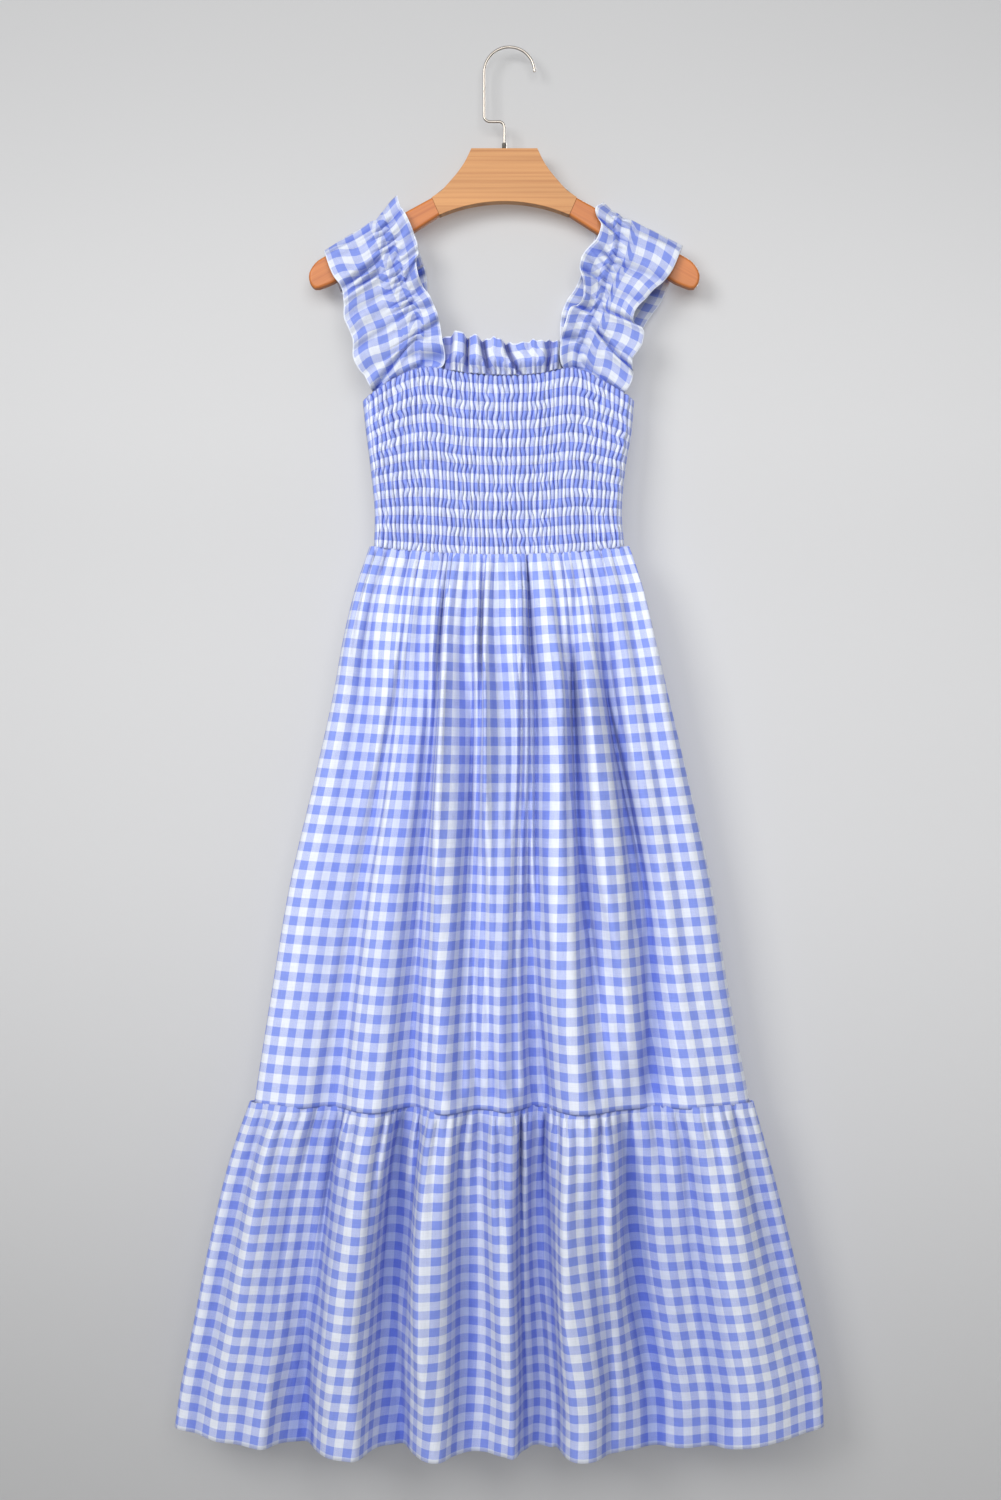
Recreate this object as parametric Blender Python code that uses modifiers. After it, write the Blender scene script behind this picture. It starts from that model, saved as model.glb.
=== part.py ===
"""Sundress with a shirred bodice, ruffled straps and two gathered skirt tiers, on a wooden hanger.

Blender 4.5 script. Lengths are in metres and +Z is up. The front faces -Y, +X is the viewer's right,
and the hook's inner bearing point is the origin, so the whole dress hangs below it.
"""

from collections import namedtuple
from math import cos, pi, radians, sin

import bmesh
import bpy
import numpy as np

# --- driving sizes -------------------------------------------------------------------------------
WALL = 0.0015                # thickness of every cloth wall
SEAM = 0.0003                # air between two pieces that are sewn together
RIM_TILT = 0.0006            # how far the slanting rim of a wall reaches past its edge
EDGE_GAP = SEAM + RIM_TILT   # between the edges of two panels, one above the other
SIDE_GAP = (WALL + SEAM) / 2 # from the middle plane to the middle of a wall at a side seam
DRESS_X = -0.0105            # middle of the dress
HANGER_X = -0.0052           # middle of the hanger, and its hook's stem

WAIST_MIDDLE_Z = -0.5290
WAIST_SIDE_Z = -0.5200
NECK_CLEAR = 0.0004          # more air over the neckline, because its curve is faceted below
TIER_SEAM_Z = -1.0990
HEM_Z = -1.4485
HEM_SIDE_LIFT = 0.0165       # how much higher the hem hangs at the side seams
TIER_SEAM_SIDE_LIFT = 0.0025

BODICE_HALF_DEPTH = 0.0100   # from the middle plane to the shirred wall
STRAP_HALF_DEPTH = 0.0098    # the straps pass the hanger's arms at this distance
FRILL_HEIGHT = 0.0360
FRILL_WAVE = 0.0035
FRILL_PLEATS = 7
FRILL_LEFT_X = -0.0665
FRILL_RIGHT_X = 0.0515

HOOK_WIRE = 0.0028           # diameter of the hook's wire
HOOK_RADIUS = 0.0262         # of the wire's middle line, round the bearing point
HOOK_END_ANGLE = radians(1)
HOOK_CRANK_Z = -0.0762       # the wire's sideways step
CRANK_BEND = 0.0058
COLLAR_RADIUS = 0.00245
COLLAR_HEIGHT = 0.0070
COLLAR_FOOT = 0.0010
BLOCK_TOP_Z = -0.1057
BLOCK_THICKNESS = 0.0130
ARM_THICKNESS = 0.0120
WOOD_ROUNDING = 0.0030
WOOD_GAP = 0.0003

SAMPLES = 900                # points along a cloth row before its columns are spaced out

# Half-widths of the skirt at fractions of a tier's drop, from the dress's middle.
Side = namedtuple("Side", "drop left right")
UPPER_SIDES = [
    Side(0.00, 0.1345, 0.1350),
    Side(0.08, 0.1500, 0.1496),
    Side(0.17, 0.1624, 0.1620),
    Side(0.25, 0.1705, 0.1730),
    Side(0.43, 0.1935, 0.1975),
    Side(0.60, 0.2165, 0.2192),
    Side(0.80, 0.2363, 0.2381),
    Side(1.00, 0.2545, 0.2600),
]
HEM_SIDES = [
    Side(0.00, 0.2590, 0.2640),
    Side(0.13, 0.2748, 0.2764),
    Side(0.42, 0.2998, 0.3014),
    Side(0.71, 0.3195, 0.3243),
    Side(0.86, 0.3300, 0.3345),
    Side(1.00, 0.3370, 0.3372),
]
# Half-widths of the bodice, from its neckline corners (0) to the waist (1).
BODICE_SIDES = [
    Side(0.00, 0.1415, 0.1400),
    Side(0.20, 0.1385, 0.1375),
    Side(0.50, 0.1330, 0.1305),
    Side(0.80, 0.1290, 0.1272),
    Side(1.00, 0.1300, 0.1300),
]

# The bodice's top edge, drawn up where the straps are sewn on.
Neckline = namedtuple("Neckline", "x z")
NECKLINE = [
    Neckline(-0.1520, -0.3677),
    Neckline(-0.1220, -0.3465),
    Neckline(-0.0920, -0.3340),
    Neckline(-0.0450, -0.3400),
    Neckline(-0.0100, -0.3423),
    Neckline(0.0270, -0.3410),
    Neckline(0.0700, -0.3350),
    Neckline(0.1000, -0.3490),
    Neckline(0.1300, -0.3677),
]

# Troughs of the hanging folds. x is measured from the dress's middle at four drops of the tier, deep
# is the share of the deepest fold, and wide is a trough's half-width. They run from top to bottom.
Fold = namedtuple("Fold", "x deep wide")
FOLD_DROPS = (0.0, 0.25, 0.6, 1.0)
UPPER_FRONT_FOLDS = [
    Fold((-0.093, -0.104, -0.140, -0.175), (0.6, 0.9, 0.9, 0.9), (0.005, 0.007, 0.013, 0.023)),
    Fold((-0.058, -0.065, -0.080, -0.093), (0.8, 1.0, 0.9, 0.9), (0.004, 0.006, 0.010, 0.021)),
    Fold((-0.018, -0.020, -0.024, -0.020), (0.6, 0.7, 0.8, 0.7), (0.004, 0.006, 0.012, 0.022)),
    Fold((0.029, 0.028, 0.026, 0.038), (0.7, 0.9, 1.0, 1.0), (0.005, 0.007, 0.011, 0.022)),
    Fold((0.081, 0.076, 0.087, 0.128), (0.6, 0.8, 0.6, 0.5), (0.005, 0.007, 0.012, 0.024)),
    Fold((0.092, 0.111, 0.149, 0.166), (0.2, 0.8, 0.9, 0.7), (0.005, 0.006, 0.011, 0.024)),
    Fold((0.123, 0.147, 0.184, 0.215), (0.5, 0.7, 0.5, 0.1), (0.006, 0.008, 0.014, 0.020)),
]
HEM_FRONT_FOLDS = [
    Fold((-0.175, -0.193, -0.208, -0.211), (0.9, 0.9, 0.9, 0.9), (0.023, 0.022, 0.022, 0.026)),
    Fold((-0.095, -0.105, -0.114, -0.111), (0.9, 0.9, 0.9, 0.9), (0.021, 0.020, 0.021, 0.026)),
    Fold((-0.020, -0.021, -0.024, -0.020), (0.7, 0.6, 0.6, 0.6), (0.022, 0.022, 0.024, 0.028)),
    Fold((0.038, 0.038, 0.039, 0.044), (1.0, 1.0, 1.0, 1.0), (0.022, 0.018, 0.018, 0.021)),
    Fold((0.128, 0.132, 0.136, 0.140), (0.5, 0.6, 0.7, 0.7), (0.024, 0.024, 0.026, 0.030)),
    Fold((0.166, 0.172, 0.182, 0.196), (0.7, 0.7, 0.7, 0.7), (0.024, 0.026, 0.030, 0.034)),
]
UPPER_BACK_FOLDS = [
    Fold((-0.112, -0.142, -0.184, -0.212), (0.6, 0.9, 0.8, 0.6), (0.005, 0.007, 0.012, 0.018)),
    Fold((-0.082, -0.097, -0.127, -0.150), (0.7, 0.8, 1.0, 1.0), (0.005, 0.007, 0.011, 0.017)),
    Fold((-0.049, -0.058, -0.071, -0.088), (0.6, 0.9, 0.7, 0.8), (0.004, 0.007, 0.011, 0.016)),
    Fold((-0.021, -0.017, -0.022, -0.029), (0.8, 0.8, 0.9, 1.0), (0.005, 0.006, 0.010, 0.016)),
    Fold((0.022, 0.027, 0.030, 0.033), (0.6, 0.8, 0.8, 0.7), (0.005, 0.007, 0.012, 0.018)),
    Fold((0.053, 0.061, 0.081, 0.094), (0.8, 0.9, 0.9, 0.9), (0.005, 0.006, 0.010, 0.016)),
    Fold((0.088, 0.104, 0.129, 0.157), (0.6, 0.7, 0.7, 0.9), (0.004, 0.007, 0.012, 0.017)),
    Fold((0.117, 0.146, 0.183, 0.214), (0.5, 0.8, 0.8, 0.6), (0.005, 0.007, 0.012, 0.018)),
]
HEM_BACK_FOLDS = [
    Fold((-0.212, -0.224, -0.240, -0.257), (0.6, 0.6, 0.7, 0.7), (0.018, 0.018, 0.019, 0.022)),
    Fold((-0.150, -0.158, -0.170, -0.179), (1.0, 1.0, 0.9, 0.9), (0.017, 0.017, 0.018, 0.020)),
    Fold((-0.088, -0.092, -0.103, -0.112), (0.8, 0.8, 0.8, 0.7), (0.016, 0.017, 0.018, 0.021)),
    Fold((-0.029, -0.031, -0.033, -0.039), (1.0, 1.0, 1.0, 1.0), (0.016, 0.016, 0.017, 0.019)),
    Fold((0.033, 0.035, 0.036, 0.036), (0.7, 0.7, 0.8, 0.8), (0.018, 0.018, 0.019, 0.021)),
    Fold((0.094, 0.099, 0.107, 0.113), (0.9, 0.9, 0.9, 1.0), (0.016, 0.016, 0.017, 0.020)),
    Fold((0.157, 0.165, 0.174, 0.186), (0.9, 0.9, 0.9, 0.8), (0.017, 0.017, 0.018, 0.021)),
    Fold((0.214, 0.228, 0.247, 0.262), (0.6, 0.6, 0.6, 0.7), (0.018, 0.019, 0.021, 0.024)),
]

# A gathered panel: the width and length it is cut to, the share of that width its large folds take up
# from top to bottom (small gathers take the rest), and its distance from the middle plane in a trough.
Gathered = namedtuple(
    "Gathered",
    "name facing cut_width top_z side_lift bottom_z bottom_lift sides folds taken floor columns rows",
)
UPPER_TAKEN = ((0.0, 0.25, 0.6, 1.0), (0.40, 0.74, 0.90, 0.96))
HEM_TAKEN = ((0.0, 0.3, 1.0), (0.73, 0.87, 0.93))
FLOOR = ((0.0, 0.3, 1.0), (0.0100, 0.0085, 0.0080))
HEM_FLOOR = ((0.0, 1.0), (0.0080, 0.0080))
WAIST_LIFT = WAIST_SIDE_Z - WAIST_MIDDLE_Z
UPPER_WIDTH = 0.70
HEM_WIDTH = 0.92
GATHERED = [
    Gathered("skirt_front", -1, UPPER_WIDTH, WAIST_MIDDLE_Z, WAIST_LIFT, TIER_SEAM_Z + EDGE_GAP,
             TIER_SEAM_SIDE_LIFT, UPPER_SIDES, UPPER_FRONT_FOLDS, UPPER_TAKEN, FLOOR, 46, 9),
    Gathered("skirt_back", 1, UPPER_WIDTH, WAIST_MIDDLE_Z, WAIST_LIFT, TIER_SEAM_Z + EDGE_GAP,
             TIER_SEAM_SIDE_LIFT, UPPER_SIDES, UPPER_BACK_FOLDS, UPPER_TAKEN, FLOOR, 40, 7),
    Gathered("tier_front", -1, HEM_WIDTH, TIER_SEAM_Z, TIER_SEAM_SIDE_LIFT, HEM_Z,
             HEM_SIDE_LIFT, HEM_SIDES, HEM_FRONT_FOLDS, HEM_TAKEN, HEM_FLOOR, 46, 5),
    Gathered("tier_back", 1, HEM_WIDTH, TIER_SEAM_Z, TIER_SEAM_SIDE_LIFT, HEM_Z,
             HEM_SIDE_LIFT, HEM_SIDES, HEM_BACK_FOLDS, HEM_TAKEN, HEM_FLOOR, 40, 5),
]

# A strap is a ruffled strip with an outer edge, a shirred line and an inner edge. Each runs from the fold
# over the hanger's arm (0) down to the bodice (1), in front and at the back.
Edge = namedtuple("Edge", "drop x z")
LEFT_OUTER = [
    Edge(0.00, -0.1927, -0.2107), Edge(0.18, -0.1823, -0.2393), Edge(0.28, -0.1733, -0.2533),
    Edge(0.385, -0.1709, -0.2700), Edge(0.46, -0.1709, -0.2835), Edge(0.53, -0.1657, -0.2960),
    Edge(0.60, -0.1618, -0.3064), Edge(0.70, -0.1618, -0.3230), Edge(0.80, -0.1558, -0.3365),
    Edge(1.00, -0.1376, -0.3490),
]
LEFT_LINE = [
    Edge(0.00, -0.1386, -0.1795), Edge(0.146, -0.1282, -0.2013), Edge(0.30, -0.1215, -0.2253),
    Edge(0.53, -0.1074, -0.2606), Edge(0.70, -0.0956, -0.2851), Edge(0.766, -0.0950, -0.2960),
    Edge(0.87, -0.0981, -0.3105), Edge(1.00, -0.0929, -0.3324),
]
LEFT_INNER = [
    Edge(0.00, -0.1168, -0.1566), Edge(0.10, -0.1077, -0.1753), Edge(0.19, -0.1012, -0.1889),
    Edge(0.36, -0.0939, -0.2180), Edge(0.42, -0.0963, -0.2253), Edge(0.49, -0.0933, -0.2419),
    Edge(0.60, -0.0810, -0.2637), Edge(0.70, -0.0742, -0.2793), Edge(0.85, -0.0696, -0.3095),
    Edge(1.00, -0.0704, -0.3345),
]
RIGHT_OUTER = [
    Edge(0.00, 0.1802, -0.2057), Edge(0.20, 0.1650, -0.2393), Edge(0.36, 0.1451, -0.2592),
    Edge(0.49, 0.1297, -0.2773), Edge(0.54, 0.1276, -0.2851), Edge(0.64, 0.1390, -0.2988),
    Edge(0.70, 0.1375, -0.3095), Edge(0.82, 0.1266, -0.3293), Edge(0.87, 0.1283, -0.3384),
    Edge(1.00, 0.1130, -0.3553),
]
RIGHT_LINE = [
    Edge(0.00, 0.1172, -0.1765), Edge(0.246, 0.1099, -0.2211), Edge(0.35, 0.1026, -0.2377),
    Edge(0.50, 0.0974, -0.2592), Edge(0.69, 0.0839, -0.2877), Edge(0.80, 0.0777, -0.3043),
    Edge(0.92, 0.0704, -0.3230), Edge(1.00, 0.0704, -0.3345),
]
RIGHT_INNER = [
    Edge(0.00, 0.0974, -0.1577), Edge(0.08, 0.0887, -0.1707), Edge(0.19, 0.0945, -0.1889),
    Edge(0.254, 0.0902, -0.2011), Edge(0.346, 0.0777, -0.2149), Edge(0.42, 0.0725, -0.2284),
    Edge(0.54, 0.0766, -0.2513), Edge(0.605, 0.0750, -0.2652), Edge(0.68, 0.0630, -0.2729),
    Edge(0.76, 0.0579, -0.2877), Edge(1.00, 0.0558, -0.3365),
]
LEFT_BACK_OUTER = [Edge(0.0, -0.1927, -0.2107), Edge(0.5, -0.1657, -0.2769), Edge(1.0, -0.1397, -0.3500)]
LEFT_BACK_LINE = [Edge(0.0, -0.1386, -0.1795), Edge(0.5, -0.1137, -0.2533), Edge(1.0, -0.0929, -0.3334)]
LEFT_BACK_INNER = [
    Edge(0.0, -0.1168, -0.1566), Edge(0.25, -0.0985, -0.1960), Edge(0.45, -0.0868, -0.2320),
    Edge(0.60, -0.0850, -0.2600), Edge(1.0, -0.0700, -0.3355),
]
RIGHT_BACK_OUTER = [
    Edge(0.0, 0.1802, -0.2057), Edge(0.3, 0.1672, -0.2420), Edge(0.45, 0.1588, -0.2610),
    Edge(0.60, 0.1450, -0.2800), Edge(1.0, 0.1172, -0.3532),
]
RIGHT_BACK_LINE = [Edge(0.0, 0.1172, -0.1765), Edge(0.5, 0.0985, -0.2513), Edge(1.0, 0.0714, -0.3345)]
RIGHT_BACK_INNER = [
    Edge(0.0, 0.0974, -0.1577), Edge(0.3, 0.0860, -0.2030), Edge(0.5, 0.0700, -0.2430),
    Edge(0.65, 0.0570, -0.2650), Edge(1.0, 0.0540, -0.3355),
]
LEFT_FRONT = (LEFT_OUTER, LEFT_LINE, LEFT_INNER)
LEFT_BACK = (LEFT_BACK_OUTER, LEFT_BACK_LINE, LEFT_BACK_INNER)
RIGHT_FRONT = (RIGHT_OUTER, RIGHT_LINE, RIGHT_INNER)
RIGHT_BACK = (RIGHT_BACK_OUTER, RIGHT_BACK_LINE, RIGHT_BACK_INNER)
STRAP_ROWS = 20              # from the arm to the bodice, on each side
STRAP_TURN = 0.06            # share of a half's drop in which it turns over the arm
STRAP_ACROSS = (-1.0, -0.66, -0.33, 0.0, 0.5, 1.0)
STRAP_WAVES = 6
STRAP_WAVE = 0.0016

# The hanger's outline, from its own middle: the block's shoulder, and the round end of an arm.
Outline = namedtuple("Outline", "x z")
BLOCK_SHOULDER = [
    Outline(0.0342, BLOCK_TOP_Z),
    Outline(0.0422, -0.1216),
    Outline(0.0546, -0.1379),
    Outline(0.0700, -0.1530),
    Outline(0.0753, -0.1565),
]
JOINT_BOTTOM = Outline(0.0673, -0.1747)
ARCH_TOP_Z = -0.1606
ARM_END = [
    Outline(0.1850, -0.2164),
    Outline(0.1945, -0.2224),
    Outline(0.2005, -0.2300),
    Outline(0.2030, -0.2375),
    Outline(0.2010, -0.2465),
    Outline(0.1940, -0.2510),
    Outline(0.1770, -0.2447),
]

GINGHAM_BLUE = (0.42, 0.50, 0.86, 1.0)
WOOD = (0.66, 0.36, 0.16, 1.0)
WOOD_ARM = (0.58, 0.26, 0.11, 1.0)
NICKEL = (0.62, 0.58, 0.54, 1.0)


# --- general helpers -------------------------------------------------------------------------------
def clear_scene():
    for item in list(bpy.data.objects):
        bpy.data.objects.remove(item, do_unlink=True)


def make_collection(name):
    collection = bpy.data.collections.new(name)
    bpy.context.scene.collection.children.link(collection)
    return collection


def make_material(name, colour, roughness, metallic=0.0):
    material = bpy.data.materials.new(name)
    material.use_nodes = True
    shader = material.node_tree.nodes["Principled BSDF"]
    shader.inputs["Base Color"].default_value = colour
    shader.inputs["Roughness"].default_value = roughness
    shader.inputs["Metallic"].default_value = metallic
    return material


def glide(at, knots, values):
    """A smooth curve through the knots: cubic pieces whose slopes come from their neighbours."""
    at, knots, values = (np.asarray(item, float) for item in (at, knots, values))
    slope = np.gradient(values, knots)
    piece = np.clip(np.searchsorted(knots, at, side="right") - 1, 0, len(knots) - 2)
    span = knots[piece + 1] - knots[piece]
    f = np.clip((at - knots[piece]) / span, 0, 1)
    g = 1 - f
    low = g * g * ((1 + 2 * f) * values[piece] + f * span * slope[piece])
    high = f * f * ((1 + 2 * g) * values[piece + 1] - g * span * slope[piece + 1])
    return low + high


def column(table, name):
    return [getattr(row, name) for row in table]


def round_side(distance, reach):
    """0 at a side seam, rising like a quarter circle to 1 at reach and beyond."""
    f = np.clip(distance / reach, 0, 1)
    return np.sqrt(1 - (1 - f) ** 2)


def row_length(x, y):
    return float(np.hypot(np.diff(x), np.diff(y)).sum())


def spaced_out(x, y, columns):
    """The row's points again, at equal lengths of cloth."""
    along = np.concatenate([[0.0], np.cumsum(np.hypot(np.diff(x), np.diff(y)))])
    stops = np.linspace(0, along[-1], columns + 1)
    return np.interp(stops, along, x), np.interp(stops, along, y)


# --- cloth -----------------------------------------------------------------------------------------
def cloth_wall(name, grid, material, collection):
    """A grid of points as a cloth wall. Its rows run down, and its face looks along its normal."""
    rows, columns = grid.shape[:2]
    mesh = bpy.data.meshes.new(name)
    work = bmesh.new()
    corners = [[work.verts.new(point) for point in line] for line in grid]
    for r in range(rows - 1):
        for c in range(columns - 1):
            work.faces.new((corners[r][c], corners[r + 1][c], corners[r + 1][c + 1], corners[r][c + 1]))
    work.to_mesh(mesh)
    work.free()
    mesh.shade_smooth()
    mesh.materials.append(material)
    piece = bpy.data.objects.new(name, mesh)
    collection.objects.link(piece)
    wall = piece.modifiers.new("Wall", "SOLIDIFY")
    wall.thickness = WALL
    wall.offset = 0.0
    return piece


def towards(facing, grid):
    """Turns the columns of a panel that looks along +Y, so that its faces look outwards."""
    return grid if facing < 0 else grid[:, ::-1]


def gathered_row(panel, drop):
    """x and y of one row of a gathered panel, with the folds deep enough to take up its cloth."""
    left = DRESS_X - glide(drop, column(panel.sides, "drop"), column(panel.sides, "left"))
    right = DRESS_X + glide(drop, column(panel.sides, "drop"), column(panel.sides, "right"))
    x = np.linspace(float(left), float(right), SAMPLES)
    across = 2 * (x - left) / (right - left) - 1
    floor = float(glide(drop, *panel.floor))
    base = floor * round_side(np.minimum(x - left, right - x), floor)
    swell = (1 - np.abs(across) ** 3) ** 1.2
    trough = np.zeros_like(x)
    for fold in panel.folds:
        middle, deep, wide = (glide(drop, FOLD_DROPS, values) for values in fold)
        trough += deep * np.exp(-(((x - DRESS_X - middle) / wide) ** 2))
    shape = swell * (1 - np.minimum(trough, 1.0))
    wanted = panel.cut_width * float(np.interp(drop, *panel.taken))
    low, high = 0.0, 0.09
    for _ in range(30):
        height = (low + high) / 2
        if row_length(x, base + height * shape) < wanted:
            low = height
        else:
            high = height
    x, y = spaced_out(x, base + low * shape, panel.columns)
    return x, panel.facing * np.maximum(y, SIDE_GAP)


def gathered_panel(panel, material, collection):
    lines = []
    for drop in np.linspace(0, 1, panel.rows + 1):
        x, y = gathered_row(panel, drop)
        across = (x - DRESS_X) / np.abs(x - DRESS_X).max()
        top = panel.top_z + panel.side_lift * across**2
        bottom = panel.bottom_z + panel.bottom_lift * across**4
        z = top + (bottom - top) * drop
        lines.append(np.stack([x, y, z], axis=-1))
    return cloth_wall(panel.name, towards(panel.facing, np.array(lines)), material, collection)


def neckline_z(x):
    return glide(x, column(NECKLINE, "x"), column(NECKLINE, "z"))


def waist_z(across):
    return WAIST_MIDDLE_Z + WAIST_LIFT * across**2


def bodice_panel(name, facing, material, collection, columns=30, rows=6):
    lines = []
    for drop in np.linspace(0, 1, rows + 1):
        left = DRESS_X - glide(drop, column(BODICE_SIDES, "drop"), column(BODICE_SIDES, "left"))
        right = DRESS_X + glide(drop, column(BODICE_SIDES, "drop"), column(BODICE_SIDES, "right"))
        turn = np.linspace(0, pi, columns + 1)
        evenly = np.linspace(0, 1, columns + 1)
        crowded = (1 - np.cos(turn)) / 2
        x = left + (right - left) * (0.6 * evenly + 0.4 * crowded)
        y = BODICE_HALF_DEPTH * round_side(np.minimum(x - left, right - x), BODICE_HALF_DEPTH)
        across = (x - DRESS_X) / np.abs(x - DRESS_X).max()
        top = neckline_z(x)
        z = top + (waist_z(across) + EDGE_GAP - top) * drop
        lines.append(np.stack([x, facing * np.maximum(y, SIDE_GAP), z], axis=-1))
    return cloth_wall(name, towards(facing, np.array(lines)), material, collection)


def strap_line(edges, drop, across):
    """A strap's x and z. across is -1 on its outer edge, 0 on the shirred line and 1 on its inner edge."""
    outer, line, inner = (
        np.array([glide(drop, column(edge, "drop"), column(edge, axis)) for axis in ("x", "z")])
        for edge in edges
    )
    end = outer if across < 0 else inner
    return line + (end - line) * abs(across)


def strap_row(edges, facing, drop):
    points = []
    for across in STRAP_ACROSS:
        x, z = strap_line(edges, drop, across)
        turn = min(1.0, drop / STRAP_TURN)
        y = STRAP_HALF_DEPTH * sin(turn * pi / 2)
        wave = STRAP_WAVE * abs(across) * sin(2 * pi * STRAP_WAVES * drop) * sin(pi * drop)
        if drop == 1.0:
            z = float(neckline_z(x)) + EDGE_GAP + NECK_CLEAR
        points.append((x, facing * (y + wave), z))
    return points


def strap(name, front, back, material, collection):
    """One ruffled strip, from the back of the bodice over the hanger's arm to the front."""
    drops = np.concatenate([[0, 0.012, 0.03], np.linspace(STRAP_TURN, 1, STRAP_ROWS)])
    behind = [strap_row(back, 1, drop) for drop in drops[:0:-1]]
    before = [strap_row(front, -1, drop) for drop in drops]
    grid = np.array(behind + before, float)
    if front[0][0].x > front[2][0].x:
        grid = grid[:, ::-1]
    return cloth_wall(name, grid, material, collection)


def frill(name, facing, material, collection, columns=42, rows=2):
    x = np.linspace(FRILL_LEFT_X, FRILL_RIGHT_X, columns + 1)
    f = (x - FRILL_LEFT_X) / (FRILL_RIGHT_X - FRILL_LEFT_X)
    wave = FRILL_WAVE * np.sin(2 * pi * FRILL_PLEATS * f)
    lines = []
    for rise in np.linspace(1, 0, rows + 1):
        y = facing * (BODICE_HALF_DEPTH + wave * rise)
        z = neckline_z(x) + EDGE_GAP + NECK_CLEAR + FRILL_HEIGHT * rise
        lines.append(np.stack([x, y, z], axis=-1))
    return cloth_wall(name, towards(facing, np.array(lines)), material, collection)


# --- hanger ----------------------------------------------------------------------------------------
def slab(name, outline, thickness, material, collection):
    """A wooden slab: the outline in the XZ plane, thickness along Y, and rounded edges."""
    mesh = bpy.data.meshes.new(name)
    work = bmesh.new()
    front = work.faces.new([work.verts.new((x, -thickness / 2, z)) for x, z in outline])
    pushed = bmesh.ops.extrude_face_region(work, geom=[front])
    moved = [item for item in pushed["geom"] if isinstance(item, bmesh.types.BMVert)]
    bmesh.ops.translate(work, verts=moved, vec=(0, thickness, 0))
    bmesh.ops.recalc_face_normals(work, faces=work.faces)
    work.to_mesh(mesh)
    work.free()
    mesh.materials.append(material)
    piece = bpy.data.objects.new(name, mesh)
    collection.objects.link(piece)
    rounding = piece.modifiers.new("Rounding", "BEVEL")
    rounding.width = WOOD_ROUNDING
    rounding.segments = 3
    rounding.limit_method = "ANGLE"
    rounding.angle_limit = radians(50)
    return piece


def hanger_block(material, collection):
    z = np.linspace(BLOCK_SHOULDER[0].z, BLOCK_SHOULDER[-1].z, 9)
    x = glide(-z, [-row.z for row in BLOCK_SHOULDER], column(BLOCK_SHOULDER, "x"))
    arch_x = np.linspace(JOINT_BOTTOM.x, 0, 8)
    sag = ARCH_TOP_Z - JOINT_BOTTOM.z
    arch_radius = (JOINT_BOTTOM.x**2 + sag**2) / (2 * sag)
    arch_z = ARCH_TOP_Z - arch_radius + np.sqrt(arch_radius**2 - arch_x**2)
    half = list(zip(x, z)) + list(zip(arch_x, arch_z))
    mirrored = [(-px, pz) for px, pz in half[-2::-1]]
    outline = [(HANGER_X + px, pz) for px, pz in half + mirrored]
    return slab("hanger_block", outline, BLOCK_THICKNESS, material, collection)


def hanger_arm(name, side, material, collection):
    """side is -1 for the viewer's left arm and 1 for the right one."""
    top, bottom = BLOCK_SHOULDER[-1], JOINT_BOTTOM
    corners = [(top.x + WOOD_GAP, top.z)] + list(ARM_END) + [(bottom.x + WOOD_GAP, bottom.z)]
    outline = [(HANGER_X + side * x, z) for x, z in corners]
    return slab(name, outline, ARM_THICKNESS, material, collection)


def arc_points(centre_x, centre_z, radius, start, end, steps):
    turns = [start + (end - start) * step / steps for step in range(steps + 1)]
    return [(centre_x + radius * cos(turn), centre_z + radius * sin(turn)) for turn in turns]


def hook_route():
    """The wire's middle line: up the stem, a step to the left, up again and over the bearing point."""
    bearing_z = -HOOK_RADIUS + HOOK_WIRE / 2
    left_x = -HOOK_RADIUS
    route = [(HANGER_X, BLOCK_TOP_Z + WOOD_GAP), (HANGER_X, BLOCK_TOP_Z + COLLAR_HEIGHT)]
    route += arc_points(HANGER_X - CRANK_BEND, HOOK_CRANK_Z - CRANK_BEND, CRANK_BEND, 0, pi / 2, 6)
    route += arc_points(left_x + CRANK_BEND, HOOK_CRANK_Z + CRANK_BEND, CRANK_BEND, -pi / 2, -pi, 6)
    route += arc_points(0, bearing_z, HOOK_RADIUS, pi, HOOK_END_ANGLE, 26)
    return route


def hanger_hook(material, collection):
    curve = bpy.data.curves.new("hanger_hook", "CURVE")
    curve.dimensions = "3D"
    curve.bevel_depth = HOOK_WIRE / 2
    curve.bevel_resolution = 3
    curve.use_fill_caps = True
    curve.materials.append(material)
    route = hook_route()
    spline = curve.splines.new("POLY")
    spline.points.add(len(route) - 1)
    for point, (x, z) in zip(spline.points, route):
        point.co = (x, 0, z, 1)
    piece = bpy.data.objects.new("hanger_hook", curve)
    collection.objects.link(piece)
    return piece


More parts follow.
